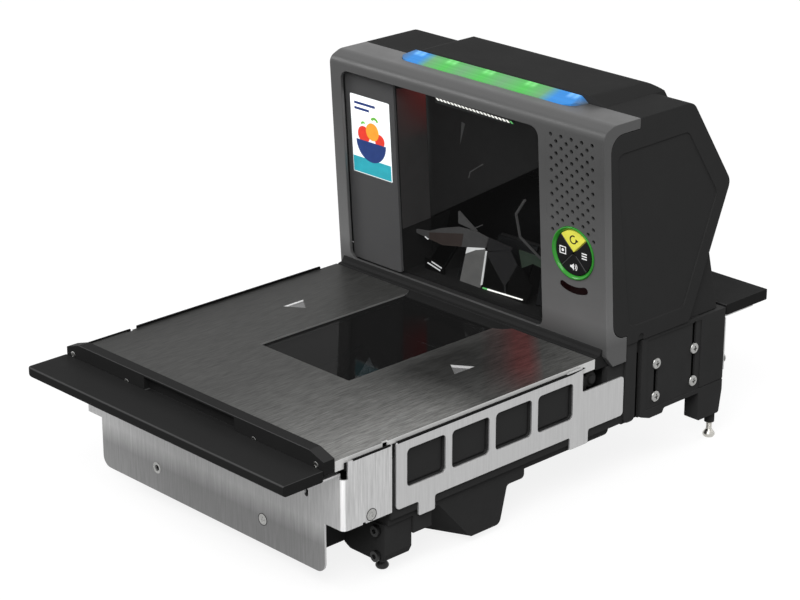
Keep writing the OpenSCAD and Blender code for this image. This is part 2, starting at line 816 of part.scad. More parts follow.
module rear_filler_screws() {
    color("gray") both_sides() {
        translate([rear_screw_x, rear_screw_y, rear_shelf - sheet_t - 1.4]) {
            cylinder(r = 3, h = 1.4);
            cylinder(r = 1.5 - fit, h = 7);
        }
        translate([tab_screw_x, rear_leg_y1 + sheet_t, tab_screw_z]) rotate([-90, 0, 0]) {
            cylinder(r = 4.4, h = 2);
            translate([0, 0, -7]) cylinder(r = 1.8 - fit, h = 7.2);
        }
    }
}

// Rear base and its brackets

slot_y = tub_y1 + 12.2;
plate2_y0 = slot_y + 6.4;
bracket_t = 2.5;
bracket_recess = 0.6;
core_x = plate_x - bracket_t;
screw_ys = [plate2_y0 + 17.3, base_y1 - 6.7];
screw_zs = [deck_h - 48.7, deck_h - 21.7];

module rear_base() {
    post_y1 = slot_y;
    color("dimgray") difference() {
        union() {
            box(-core_x, core_x, tub_y1, base_y1, rear_z, bench_z);
            both_sides() span_x(core_x - 1, plate_x) polygon(rounded([
                [tub_y1 + 0.3, rear_z + 1], [post_y1, rear_z + 1], [post_y1, bench_z], [tub_y1 + 0.3, bench_z]
            ], [4, 4, 0, 0]));
        }
        box(-core_x + tub_wall, core_x - tub_wall, tub_y1 + tub_wall, base_y1 - tub_wall,
            rear_z + tub_wall, bench_z + 1);
        both_sides() box(core_x - 1.6, core_x + 1, slot_y, plate2_y0, rear_z - 1, bench_z + 1);
        for (x = socket_xs) box(x - 9, x + 9, base_y1 - 5, base_y1 + 1, socket_z - 1, socket_z + 15);
        both_sides() for (y = screw_ys, z = screw_zs) translate([core_x, y, z]) rotate([0, 90, 0])
            cylinder(r = 1.8, h = 10, center = true);
    }
}

module rear_bracket() {
    low = rear_z - 3;
    top = bench_z - 0.7;
    mid = rear_z + 0.8;
    leg_x0 = plate_x - 13.3;
    slot_w = 4.4;
    slot_tops = [screw_zs[1] + 4, top - 2];
    color("dimgray") difference() {
        union() {
            span_x(core_x, plate_x) polygon(rounded([
                [plate2_y0, mid], [plate2_y0 + 11, low], [plate2_y0 + 26, low], [plate2_y0 + 28, mid],
                [rear_leg_y0 + 1, mid], [rear_leg_y0 + 1, top], [plate2_y0, top]
            ], [2, 2, 2, 2, 0, 0, 2]));
            span_x(leg_x0, plate_x) polygon(rounded([
                [rear_leg_y0, rear_leg_z + 9], [rear_leg_y1 - 3, rear_leg_z + 9], [rear_leg_y1, rear_leg_z + 28],
                [rear_leg_y1, top], [rear_leg_y0, top]
            ], [2, 2, 4, 0, 0]));
            translate([rear_foot_x, rear_foot_y, rear_leg_z]) cylinder(r = stud_r + 1.6, h = 20);
        }
        span_x(plate_x - bracket_recess, plate_x + 1) rounded_box(plate2_y0 + 6.5, rear_leg_y0 + 0.4,
            mid + 3.5, top - 2.6, 0.5);
        for (i = [0, 1]) span_x(core_x - 1, plate_x + 1) rounded_box(screw_ys[i] - slot_w / 2,
            screw_ys[i] + slot_w / 2, screw_zs[0] - 4, slot_tops[i], 2.1);
        box(plate_x - bracket_recess, plate_x + 1, rear_leg_y0 - 1, rear_leg_y1 + 1, mid + 3.5, mid + 4.5);
        translate([tab_screw_x, rear_leg_y1, tab_screw_z]) rotate([90, 0, 0])
            cylinder(r = 1.8, h = 16, center = true);
        translate([rear_foot_x, rear_foot_y, rear_leg_z - 1])
            cylinder(r = stud_r + stud_gap, h = rear_stud + foot_travel + 2);
    }
}
module rear_bracket_right() {
    rear_bracket();
}
module rear_bracket_left() {
    mirror([1, 0, 0]) rear_bracket();
}

module bracket_screws() {
    color("gray") both_sides() for (y = screw_ys, z = screw_zs)
        translate([plate_x - bracket_recess, y, z]) rotate([0, 90, 0]) difference() {
            union() {
                cylinder(r = 4.4, h = tower_over + bracket_recess);
                translate([0, 0, -bracket_t - 4]) cylinder(r = 1.8 - fit, h = bracket_t + 4.2);
            }
            translate([0, 0, 0.6]) cylinder(r = 1.6, h = 3, $fn = 6);
        }
}

// Tower

bezel_top_front = [tower_y + 0.7, tower_top];
bezel_points = [
    [tower_y + 7.2, tub_top], [tower_y + low_end, tub_top], [tower_y + low_end, deck_h + low_top],
    face_at(deck_h + low_top, strip_front), face_at(tower_top - strip_top, strip_front),
    [tower_y + strip_end, tower_top - strip_top], [tower_y + strip_end, tower_top], bezel_top_front,
    face_point(tower_h - 4.5, 0), face_point(-0.8, 0)
];

module tower_bezel() {
    low = bench_z;
    high = tower_top - bezel_wall;
    color("slategray") difference() {
        along_x(tower_x) polygon(rounded(bezel_points, [0, 0, 1, 13, 12, 1, 0, 14, 7, 1]));
        along_x(tower_in) polygon([
            face_at(low, bezel_wall), [tower_y + 40, low], [tower_y + 40, high], [tower_y + 3, high],
            face_point(tower_h - 9, bezel_wall)
        ]);
        face_plate(pane_x0, pane_x1, pane_h0, pane_h1, -3, bezel_wall + 2, opening_r);
        face_plate(panel_x0, panel_x1, panel_h0, panel_h1, -3, panel_t, 4);
        face_plate(panel_x0 + ledge_w, panel_x1 - ledge_w, panel_h0 + ledge_w, panel_h1 - ledge_w,
            -3, bezel_wall + 2, 3);
        translate([0, 0, high - 1]) linear_extrude(bezel_wall + 2) polygon(rounded([
            [-light_w / 2, light_y0], [light_w / 2, light_y0], [light_w / 2, light_y1 + 1],
            [-light_w / 2, light_y1 + 1]
        ], [light_r + fit, light_r + fit, 0, 0]));
    }
}

shell_points = [
    [tower_y + low_end + seam, bench_z], [tower_y + 93.2, bench_z], [apex_y + 2.6, deck_h + 106.7],
    [tower_y + 88.2, tower_top], [tower_y + strip_end + seam, tower_top],
    [tower_y + strip_end + seam, tower_top - strip_top - seam],
    face_at(tower_top - strip_top - seam, strip_front + seam),
    face_at(deck_h + low_top + seam, strip_front + seam),
    [tower_y + low_end + seam, deck_h + low_top + seam]
];
shell_radii = [0, 1, 10, 12, 0, 0, 12, 13, 0];

module tower_shell() {
    wall = shell_wall;
    side_panel = inset(shell_points, [14, 12, 16, 22, 40, 15, 6, 30, 2]);
    color("dimgray") difference() {
        along_x(tower_x) polygon(rounded(shell_points, shell_radii));
        along_x(tower_in) polygon(rounded(inset(shell_points, [-1, wall, wall, wall, -1, -1, -1, -1, -1]),
            [0, 0, 8, 9, 0, 0, 0, 0, 0]));
        both_sides() span_x(tower_x - 0.8, tower_x + 1) polygon(rounded([
            side_panel[0], side_panel[1], side_panel[2], side_panel[3], side_panel[6]
        ], [6, 6, 8, 8, 6]));
        both_sides() span_x(tower_x - 1.2, tower_x + 1) rounded_box(slot_y, plate2_y0, bench_z - 8,
            bench_z + 5.5, 3);
    }
}

module cable_cover() {
    half = tower_x - 4;
    wall = shell_wall;
    slope = (shell_points[2] - shell_points[1]);
    foot = shell_points[1] + [0.3, 0];
    peak = foot + slope * (57 / slope[1]);
    points = [foot, [tower_y + 131, bench_z], peak];
    color("dimgray") difference() {
        along_x(half) polygon(points);
        along_x(half - wall) polygon(inset(points, [-1, wall, -1]));
    }
}

module top_cover() {
    x0 = 50 - tower_x;
    x1 = tower_x - 35;
    slope_w = 14;
    crest = tower_top + cover_h;
    grow = -cover_h;
    points = inset(shell_points, [0, 0, grow, grow, -seam, 0, 0, 0, 0]);
    color("dimgray") difference() {
        intersection() {
            span_x(x0, x1) polygon(rounded(points, [0, 0, 10, 15, 0, 0, 0, 0, 0]));
            along_y(tower_y, apex_y + 20) polygon(rounded([
                [x0, tower_top - 60], [x1, tower_top - 60], [x1, tower_top], [x1 - slope_w, crest],
                [x0 + slope_w, crest], [x0, tower_top]
            ], [0, 0, 0, 12, 12, 0]));
        }
        span_x(x0 - 1, x1 + 1) polygon(rounded(inset(shell_points, [0, 0, -0.05, -0.05, -2, 0, 0, 0, 0]),
            [0, 0, 10, 12, 0, 0, 0, 0, 0]));
        box(x0 - 1, x1 + 1, tower_y, light_y1 + seam, tower_top - 60, tower_top + 20);
    }
}

module light_bar() {
    half = light_w / 2 - fit;
    y0 = light_y0 + fit;
    y1 = light_y1;
    foot_z = tower_top - bezel_wall - 2;
    rim = tower_top + 0.4;
    crest = tower_top + cover_h - 0.8;
    end_slope = 9;
    color("lightblue") intersection() {
        along_x(half) polygon(rounded([[y0, foot_z], [y1, foot_z], [y1, crest], [y0, rim]], [0, 0, 1, 1]));
        along_y(y0 - 1, y1 + 1) polygon([
            [-half, foot_z], [half, foot_z], [half, rim], [half - end_slope, crest + 1],
            [end_slope - half, crest + 1], [-half, rim]
        ]);
        translate([0, 0, foot_z - 1]) linear_extrude(30) polygon(rounded([
            [-half, y0], [half, y0], [half, y1], [-half, y1]
        ], [light_r, light_r, 0, 0]));
    }
}

module light_board() {
    foot_z = tower_top - bezel_wall - 2;
    color("green") box(-light_w / 2 + 4, light_w / 2 - 4, light_y0 + 2, light_y1 - 1, foot_z - 1.6, foot_z);
}

glass_d = bezel_wall;
module tower_glass() {
    color("slategray") face_plate(pane_x0 - 3, pane_x1 + 3, 3.8, pane_h1 + 2.5, glass_d,
        glass_d + glass_t, 2);
}

back_d = glass_d + glass_t;
module display_panel() {
    color("dimgray") difference() {
        face_plate(pane_x0 - 2, screen_panel_x1, 4.2, pane_h1 + 1.5, back_d, back_d + 2.5, 2);
        face_plate(screen_x0, screen_x0 + display_w, screen_h0, screen_h0 + display_h, back_d - 1,
            back_d + 4, 1);
    }
}

module display_screen() {
    color("lightblue") face_plate(screen_x0 + fit, screen_x0 + display_w - fit, screen_h0 + fit,
        screen_h0 + display_h - fit, back_d, back_d + 4, 0.8);
}

module illumination_bar() {
    x0 = pane_x0 + 100.1;
    x1 = pane_x1 - 32.3;
    color("white") face_plate(x0, x1, pane_h1 - 7.2, pane_h1 + 2, back_d, back_d + 4, 0.5);
}

// Curved slot with round ends: radius of its middle line, half its width, half its angle
module arc_outline(r, w, half_angle) {
    steps = 16;
    cap = 6;
    out = [sin(half_angle), -cos(half_angle)];
    along = [cos(half_angle), sin(half_angle)];
    right_cap = [for (i = [0 : cap]) r * out + w * (cos(180 * i / cap) * out + sin(180 * i / cap) * along)];
    polygon([
        for (i = [1 - steps : steps - 1]) (r + w) * [sin(half_angle * i / steps), -cos(half_angle * i / steps)],
        each right_cap,
        for (i = [1 - steps : steps - 1]) (r - w) * [-sin(half_angle * i / steps), -cos(half_angle * i / steps)],
        for (i = [cap : -1 : 0]) [-right_cap[i][0], right_cap[i][1]]
    ]);
}

module grille() {
    pitch_x = 5.06;
    pitch_h = 9.3;
    top = panel_h1 - 3.9;
    mid = (grille_columns - 1) / 2;
    for (i = [0 : grille_columns - 1], j = [0 : 8]) {
        x = (i - mid) * pitch_x;
        h = top - j * pitch_h - (i % 2) * pitch_h / 2;
        if (h > 88 && norm([x, h - ring_h]) > ring_r + 2.2) translate([ring_x + x, h]) circle(r = grille_r);
    }
}

module control_panel() {
    color("slategray") difference() {
        face_plate(panel_x0 + fit, panel_x1 - fit, panel_h0 + fit, panel_h1 - fit, 0, panel_t, 3.8);
        on_face() along_y(-1, panel_t + 1) grille();
        at_keys(-1, panel_t + 1) circle(r = ring_r + fit);
        at_keys(-1, panel_t + 1) arc_outline(slot_arc_r, 3, slot_arc);
    }
}

module speaker() {
    mid_h = 128;
    color("dimgray") {
        face_plate(panel_x0 + 4, panel_x1 - 4, mid_h - 28, mid_h + 33, panel_t, panel_t + 5, 3);
        on_face() translate([ring_x, panel_t + 18, mid_h + 3]) rotate([90, 0, 0]) cylinder(r = 18, h = 13.5);
    }
}

module key_ring() {
    color("limegreen") difference() {
        union() {
            at_keys(-1, board_d) circle(r = ring_r);
            at_keys(panel_t, panel_t + 1.4) circle(r = ring_r + 1.8);
        }
        at_keys(-2, board_d + 1) circle(r = key_r + 0.4);
    }
}

// One quadrant key; side 0 is the right one, counted against the clock
module quadrant_key(side) {
    at_keys(key_top_d, key_back_d) intersection() {
        circle(r = key_r);
        rotate(side * 90) translate([key_gap * 0.75, 0]) polygon([
            [0, 0], [2 * key_r, -2 * key_r], [2 * key_r, 2 * key_r]
        ]);
    }
}
module key_right() {
    color("dimgray") quadrant_key(0);
}
module key_top() {
    color("yellow") quadrant_key(1);
}
module key_left() {
    color("dimgray") quadrant_key(2);
}
module key_bottom() {
    color("dimgray") quadrant_key(3);
}

module key_board() {
    color("green") at_keys(board_d, board_d + 1.6) circle(r = ring_r + 1);
}

module ir_lens() {
    color("maroon") {
        at_keys(0.4, panel_t + 0.5) arc_outline(slot_arc_r, 2.8, slot_arc);
        at_keys(panel_t, panel_t + 1.4) arc_outline(slot_arc_r, 4, slot_arc);
    }
}

// Optics and electronics behind

// Mirrors of the tower: place across, place behind the face, yaw, width, height and tilt
tower_mirror_list = [
    [-26.4, 29.7, -5, 26, 27, 65],
    [9.8, 29.4, 2, 41, 38, 62],
    [-67, 34, -12, 20, 22, 52],
    [62, 36, 26, 34, 32, 60],
    [0, 70, 0, 190, 76, 76]
];
module tower_mirror_place(m) {
    translate([m[0], tower_y + m[1], bench_z + bench_t]) rotate([0, 0, m[2]]) children();
}

// Side wall of the tower's optics: it leans with the face
module optics_cheek(x0, x1, depth) {
    low = bench_z + 1;
    high = tower_top - 24;
    span_x(x0, x1) polygon([
        face_at(low, back_d + 3.2), face_at(low, back_d + 3.2) + [depth, 0],
        face_at(high, back_d + 3.2) + [depth, 0], face_at(high, back_d + 3.2)
    ]);
}

module tower_bench() {
    half = tower_in - 0.2;
    color("dimgray") {
        box(-half, half, tower_y + 12, tower_y + 90, bench_z, bench_z + bench_t);
        for (m = tower_mirror_list) tower_mirror_place(m) mirror_seat(m[3] + 1, m[4] + 1, m[5]);
        optics_cheek(screen_panel_x1 - 3, screen_panel_x1 - 0.5, 32);
        optics_cheek(pane_x1 + 3.5, pane_x1 + 6, 40);
    }
}

module tower_mirrors() {
    color("lightgray") for (m = tower_mirror_list) tower_mirror_place(m) mirror_plate(m[3], m[4], m[5]);
}

module scan_motor() {
    color("gray") translate([engine_x, engine_y, engine_z]) {
        cylinder(r = 22, h = 2);
        cylinder(r = 14, h = 14);
        cylinder(r = shaft_r, h = 14 + polygon_h + 6);
    }
}

module polygon_mirror() {
    color("lightgray") translate([engine_x, engine_y, engine_z + 14.6]) difference() {
        cylinder(r = polygon_r, h = polygon_h, $fn = 8);
        translate([0, 0, -1]) cylinder(r = shaft_r + shaft_gap, h = polygon_h + 2);
    }
}

module laser_module() {
    color("brown") translate([engine_x - 48, engine_y, engine_z]) {
        box(-6, 22, -9, 9, 0, 12);
        translate([6, 0, 18]) rotate([0, 90, 0]) cylinder(r = 5, h = 18);
        box(-2, 16, -7, 7, 11, 14);
    }
}

board_x = 71.8 - plate_x;
board_z = engine_z + 5;
module main_board() {
    color("green") {
        box(board_x - 52, board_x + 29, engine_y - 34, base_y1 - 4, board_z, board_z + 1.6);
        for (x = [board_x - 48, board_x + 25], y = [engine_y - 30, engine_y + 30])
            translate([x, y, engine_z]) cylinder(r = 3, h = 5.5);
        box(board_x - 20, board_x + 6, engine_y - 18, engine_y + 6, board_z + 1, board_z + 4.6);
    }
}

socket_xs = [board_x - 36, board_x - 8, board_x + 20];
socket_z = board_z + 1.6;
module io_sockets() {
    color("silver") for (x = socket_xs) difference() {
        box(x - 8.5, x + 8.5, base_y1 - 20, base_y1 + 0.4, socket_z, socket_z + 14);
        box(x - 6, x + 6, base_y1 - 13, base_y1 + 2, socket_z + 3, socket_z + 11);
    }
}

platter();
platter_pads();
weigh_frame();
load_cell();
load_cell_spacers();
window_frame();
deck_glass();
rear_sill();
base_tub();
optics_chassis();
base_mirrors();
side_plate_left();
side_plate_right();
front_bracket();
front_frame();
apron_screws();
front_leg_left();
front_leg_right();
leg_bolts();
foot_front_left();
foot_front_right();
foot_rear_left();
foot_rear_right();
produce_rail();
front_filler();
rail_screws();
rear_base();
rear_bracket_left();
rear_bracket_right();
bracket_screws();
rear_filler();
rear_filler_bracket();
rear_filler_screws();
tower_bezel();
tower_shell();
cable_cover();
top_cover();
light_bar();
light_board();
tower_glass();
display_panel();
display_screen();
illumination_bar();
control_panel();
speaker();
key_ring();
key_top();
key_right();
key_bottom();
key_left();
key_board();
ir_lens();
tower_bench();
tower_mirrors();
scan_motor();
polygon_mirror();
laser_module();
main_board();
io_sockets();
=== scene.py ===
import math

import bmesh
import bpy
from mathutils import Matrix, Vector


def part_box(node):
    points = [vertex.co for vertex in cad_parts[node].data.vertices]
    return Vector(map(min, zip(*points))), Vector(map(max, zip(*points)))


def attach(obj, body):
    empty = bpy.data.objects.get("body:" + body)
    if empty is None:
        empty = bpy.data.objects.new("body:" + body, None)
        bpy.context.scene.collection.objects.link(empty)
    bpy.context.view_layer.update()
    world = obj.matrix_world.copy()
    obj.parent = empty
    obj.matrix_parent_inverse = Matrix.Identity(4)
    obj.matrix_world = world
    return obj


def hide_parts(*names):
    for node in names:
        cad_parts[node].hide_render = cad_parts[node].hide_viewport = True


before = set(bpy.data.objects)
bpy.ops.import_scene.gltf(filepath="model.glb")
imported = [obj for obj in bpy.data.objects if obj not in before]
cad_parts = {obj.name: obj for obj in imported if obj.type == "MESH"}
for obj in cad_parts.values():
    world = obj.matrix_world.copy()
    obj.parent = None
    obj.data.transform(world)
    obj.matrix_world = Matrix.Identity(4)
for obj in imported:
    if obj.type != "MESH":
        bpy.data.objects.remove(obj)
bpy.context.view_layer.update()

# Driving sizes in millimetres, and frames that turn them into metres
MM = 0.001
LEAN = math.radians(3.5)
SILL_DEPTH = 8.5
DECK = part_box("platter")[1].z / MM
TOWER_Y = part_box("platter")[1].y / MM + SILL_DEPTH
PLATE_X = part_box("side_plate_right")[1].x / MM
PLATE_Y0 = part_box("side_plate_right")[0].y / MM
PLATE_T = 1.5
PLATE_DROP = 2.4
PLATE_HEIGHT = 51.3
PLATE_TOP = DECK - PLATE_DROP
PLATE_Z = PLATE_TOP - PLATE_HEIGHT
APRON_RETURN = 49.2
APRON_Y = PLATE_Y0 - APRON_RETURN
APRON_HOLE_X, APRON_HOLE_Z = 59.3, 33.5
# Rows of the rear brackets' screws
BRACKET_YS = (TOWER_Y + 58.6, TOWER_Y + 102.5)
BRACKET_ZS = (DECK - 48.7, DECK - 21.7)
KEY_X = (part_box("key_ring")[0].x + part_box("key_ring")[1].x) / 2 / MM
KEY_H = 74.7
KEY_FACE = 0.4
GLASS_FRONT = 3
GLASS_BACK = 5.6
PANEL_FRONT = 6

# x to the right, depth behind the tower's face, h up the face
FACE_FOOT = Matrix.Translation((0, TOWER_Y * MM, DECK * MM))
FACE = FACE_FOOT @ Matrix.Rotation(LEAN, 4, "X") @ Matrix.Scale(MM, 4)
# The same with x and depth changed over
CHEEK = FACE @ Matrix(((0, 1, 0, 0), (1, 0, 0, 0), (0, 0, 1, 0), (0, 0, 0, 1)))
# x and y in plan, depth upward
PLAN = Matrix(((MM, 0, 0, 0), (0, 0, MM, 0), (0, MM, 0, 0), (0, 0, 0, 1)))
# y and z in a side view, depth to the right
SIDE = Matrix(((0, MM, 0, 0), (MM, 0, 0, 0), (0, 0, MM, 0), (0, 0, 0, 1)))
# x and z in a front view, depth to the back
FRONT = Matrix.Scale(MM, 4)

# Camera, from the photograph's perspective
CAMERA_PLACE = (1.26528, -1.22371, 0.80718)
CAMERA_AZIMUTH = math.radians(46.26)
CAMERA_ELEVATION = math.radians(21.1)
CAMERA_LENS = 112.05
SENSOR_WIDTH = 36
# In plan, to the viewer's right and towards the viewer
VIEW_RIGHT = (0.695, 0.719, 0)
VIEW_NEAR = (0.719, -0.695, 0)

# Studio: the floor's own grey, its white for the camera, the world's light, where the lamps aim
FLOOR_GREY = (0.2, 0.2, 0.2, 1)
FLOOR_WHITE = 0.855
WORLD_LIGHT = 0.45
LAMP_AIM = (0, 0, 0.1)


# Materials

SOCKETS = {
    "metal": "Metallic",
    "rough": "Roughness",
    "spec": "Specular IOR Level",
    "alpha": "Alpha",
    "glow": "Emission Strength",
}
WHITE = (1, 1, 1, 1)
# Most values of a noise lie between these
NOISE_LOW, NOISE_HIGH = 0.3, 0.7
# Depths of surface grain, in metres
MOULD_GRAIN, BRUSH_GRAIN = 0.00006, 0.00005


def srgb(code):
    """Linear colour of a web colour such as 3a3a3c."""
    parts = [int(code[i : i + 2], 16) / 255 for i in (0, 2, 4)]
    linear = [p / 12.92 if p <= 0.04045 else ((p + 0.055) / 1.055) ** 2.4 for p in parts]
    return (*linear, 1.0)


def scaled(colour, factor):
    return tuple(min(1.0, c * factor) for c in colour[:3]) + (1.0,)


def shader(name, colour, **values):
    """New material, called a look here, with its uniform values set."""
    look = bpy.data.materials.new(name)
    look.use_nodes = True
    inputs = look.node_tree.nodes["Principled BSDF"].inputs
    inputs["Base Color"].default_value = colour
    for key, value in values.items():
        inputs[SOCKETS[key]].default_value = value
    return look


def add_node(look, kind, **values):
    made = look.node_tree.nodes.new(kind)
    for key, value in values.items():
        if key in made.inputs:
            made.inputs[key].default_value = value
        else:
            setattr(made, key, value)
    return made


def join(look, source, target):
    look.node_tree.links.new(source, target)


def shader_input(look, name):
    return look.node_tree.nodes["Principled BSDF"].inputs[name]


def feed(look, name, source):
    """Value led to one of the shader's own sockets."""
    join(look, source, shader_input(look, name))


def place_of(look):
    """Place on the piece, in metres."""
    return add_node(look, "ShaderNodeTexCoord").outputs["Object"]


def noise_of(look, stretch, detail=2.0, roughness=0.5):
    """Noise with its own number of grains per metre along X, Y and Z."""
    mapping = add_node(look, "ShaderNodeMapping", Scale=stretch)
    join(look, place_of(look), mapping.inputs["Vector"])
    made = add_node(look, "ShaderNodeTexNoise", Scale=1.0, Detail=detail, Roughness=roughness)
    join(look, mapping.outputs["Vector"], made.inputs["Vector"])
    return made.outputs["Fac"]


def ramp_of(look, source, stops):
    """Colour ramp over a value; stops are pairs of place and colour."""
    made = add_node(look, "ShaderNodeValToRGB")
    join(look, source, made.inputs["Fac"])
    elements = made.color_ramp.elements
    elements[0].position, elements[0].color = stops[0]
    elements[1].position, elements[1].color = stops[-1]
    for position, colour in stops[1:-1]:
        elements.new(position).color = colour
    return made.outputs["Color"]


def range_of(look, source, low, high, from_low=NOISE_LOW, from_high=NOISE_HIGH):
    """Value mapped to low and high, by default from the range of a noise."""
    made = add_node(look, "ShaderNodeMapRange")
    limits = {"From Min": from_low, "From Max": from_high, "To Min": low, "To Max": high}
    for key, value in limits.items():
        made.inputs[key].default_value = value
    join(look, source, made.inputs["Value"])
    return made.outputs["Result"]


def add_bump(look, source, strength, distance):
    made = add_node(look, "ShaderNodeBump", Strength=strength, Distance=distance)
    join(look, source, made.inputs["Height"])
    feed(look, "Normal", made.outputs["Normal"])


def vary(look, source, colour, spread, rough, rough_spread):
    """Colour and roughness that vary with a value."""
    stops = [(NOISE_LOW, scaled(colour, 1 - spread)), (NOISE_HIGH, scaled(colour, 1 + spread))]
    feed(look, "Base Color", ramp_of(look, source, stops))
    feed(look, "Roughness", range_of(look, source, rough - rough_spread, rough + rough_spread))


def moulded(name, code, rough=0.5, spec=0.3, grain=1400.0, spread=0.08, depth=0.25):
    """Moulded plastic with a fine spark texture and faint cloudy wear."""
    colour = srgb(code)
    look = shader(name, colour, spec=spec)
    clouds = noise_of(look, (38, 38, 38), 5.0, 0.62)
    vary(look, clouds, colour, spread, rough, rough_spread=0.06)
    add_bump(look, noise_of(look, (grain, grain, grain)), depth, MOULD_GRAIN)
    return look


def brushed(name, code, stretch, rough=0.34, spread=0.22, depth=0.2, metal=1.0):
    """Brushed sheet metal: streaks along the axis with the small stretch value."""
    colour = srgb(code)
    look = shader(name, colour, metal=metal)
    streaks = noise_of(look, stretch, 4.0, 0.7)
    vary(look, streaks, colour, spread, rough, rough_spread=0.08)
    add_bump(look, streaks, depth, BRUSH_GRAIN)
    return look


def mix_of(look, factor, first, second, blend="MIX"):
    """Blend of two colours by a factor; each may also be the output of a node."""
    made = add_node(look, "ShaderNodeMix", data_type="RGBA", blend_type=blend)
    join(look, factor, made.inputs[0])
    for place, value in ((6, first), (7, second)):
        if isinstance(value, tuple):
            made.inputs[place].default_value = value
        else:
            join(look, value, made.inputs[place])
    return made.outputs[2]


def part_of(look, vector, axis):
    split = add_node(look, "ShaderNodeSeparateXYZ")
    join(look, vector, split.inputs["Vector"])
    return split.outputs[axis]


def along_of(look, direction):
    """Place along a direction, in metres."""
    made = add_node(look, "ShaderNodeVectorMath", operation="DOT_PRODUCT")
    join(look, place_of(look), made.inputs[0])
    made.inputs[1].default_value = direction
    return made.outputs["Value"]


def facing_of(look, axis):
    """How far the surface faces along one axis, from -1 to 1."""
    normal = add_node(look, "ShaderNodeNewGeometry").outputs["Normal"]
    return part_of(look, normal, axis)


def by_place(look, axis, *limits):
    """Value that changes along an axis: its two ends, then their places in metres."""
    return range_of(look, part_of(look, place_of(look), axis), *limits)


def by_facing(look, axis, *limits):
    """Value that changes with how far the surface faces along an axis."""
    return range_of(look, facing_of(look, axis), *limits)


def grey_ramp(look, source, tones):
    """Ramp of greys over a value; tones are pairs of place and brightness."""
    return ramp_of(look, source, [(place, (tone, tone, tone, 1)) for place, tone in tones])


def scale_base(look, factor):
    """Base colour that is multiplied by a value or a colour."""
    socket = shader_input(look, "Base Color")
    made = add_node(look, "ShaderNodeVectorMath", operation="MULTIPLY")
    join(look, socket.links[0].from_socket, made.inputs[0])
    join(look, factor, made.inputs[1])
    join(look, made.outputs["Vector"], socket)


def math_of(look, operation, *sources):
    """Result of an operation on one or two values."""
    made = add_node(look, "ShaderNodeMath", operation=operation)
    for source, target in zip(sources, made.inputs):
        join(look, source, target)
    return made.outputs["Value"]


def product_of(look, first, second):
    return math_of(look, "MULTIPLY", first, second)


def lit(name, code, glow, rough=0.3):
    """Plastic with a soft uneven glow: the own light of lamps and screens, and painted light on the
    tower's inner facets and baffle.
    """
    colour = srgb(code)
    look = shader(name, colour, rough=rough, spec=0.3, glow=glow)
    clouds = noise_of(look, (120, 120, 120), 3.0)
    stops = [(NOISE_LOW, scaled(colour, 0.9)), (NOISE_HIGH, scaled(colour, 1.06))]
    shade = ramp_of(look, clouds, stops)
    feed(look, "Base Color", shade)
    feed(look, "Emission Color", shade)
    add_bump(look, noise_of(look, (900, 900, 900)), 0.1, BRUSH_GRAIN)
    return look


def plain_glass(name, code, alpha, spec, painted_glow):
    """Dark coated glass: clear enough to look in, with a faint painted glow that stands in for reflected
    light, and smears.
    """
    look = shader(name, srgb(code), alpha=alpha, spec=spec, glow=painted_glow)
    # Painted glow over the glass, standing in for reflected light
    shader_input(look, "Emission Color").default_value = WHITE
    smears = noise_of(look, (30, 30, 12), 4.0)
    feed(look, "Roughness", range_of(look, smears, 0.015, 0.05))
    look.surface_render_method = "BLENDED"
    return look


def polished_mirror(name, code, rough=0.05):
    colour = srgb(code)
    look = shader(name, colour, metal=1.0)
    clouds = noise_of(look, (60, 60, 60), 3.0)
    vary(look, clouds, colour, 0.04, rough, rough_spread=0.02)
    return look


def painted_red_reflection(look, span, tones, fade):
    """Strength of a painted red reflection of the tower's light, in a stripe that leads to the viewer."""
    across = range_of(look, along_of(look, VIEW_RIGHT), 0.0, 1.0, *span)
    along = range_of(look, along_of(look, VIEW_NEAR), *fade)
    return product_of(look, grey_ramp(look, across, tones), along)


def platter_material():
    """Brushed platter with painted light: painted shade to the left, a painted dark reflection of the
    tower beside the window, a painted red reflection and painted highlights on its edges.
    """
    look = brushed("platter_steel", "80807e", (900, 72, 900), rough=0.42, spread=0.5, metal=0.15)
    shader_input(look, "Specular IOR Level").default_value = 0.05
    # Painted shade: darker to the left, lighter to the right
    to_right = by_place(look, "X", 0.0, 1.0, -0.14, 0.14)
    tones = [(0.0, 0.16), (0.13, 0.24), (0.5, 0.29), (0.71, 0.46), (0.86, 0.68), (0.95, 0.95)]
    scale_base(look, grey_ramp(look, to_right, tones))
    # Painted reflection of the dark tower on the platter's rear part beside the window
    to_rear = by_place(look, "Y", 0.0, 1.0, -0.12, 0.06)
    tones = [(0.0, 1.0), (0.15, 0.8), (0.35, 0.3), (0.6, 0.26), (0.95, 0.55)]
    shade = grey_ramp(look, to_rear, tones)
    beside = by_place(look, "X", 0.0, 1.0, 0.035, 0.062)
    scale_base(look, mix_of(look, beside, WHITE, shade))
    # Painted red reflection of the tower's light, in a stripe towards the viewer
    tones = [(0.0, 0.0), (0.3, 0.3), (0.55, 1.0), (0.72, 1.0), (0.92, 0.0)]
    red = painted_red_reflection(look, (0.05, 0.1), tones, (1.0, 0.0, 0.08, 0.14))
    scale_base(look, mix_of(look, red, WHITE, (1.8, 0.68, 0.69, 1)))
    # Painted highlight on the platter's outer edges
    tones = [(0.0, 1.0), (0.05, 1.0), (0.09, 0.3), (0.91, 0.3), (0.95, 1.0)]
    outer = grey_ramp(look, to_right, tones)
    edge = product_of(look, outer, by_facing(look, "Z", 1.0, 0.0, 0.4, 0.95))
    base = shader_input(look, "Base Color")
    join(look, mix_of(look, edge, base.links[0].from_socket, (0.86, 0.86, 0.85, 1)), base)
    return look


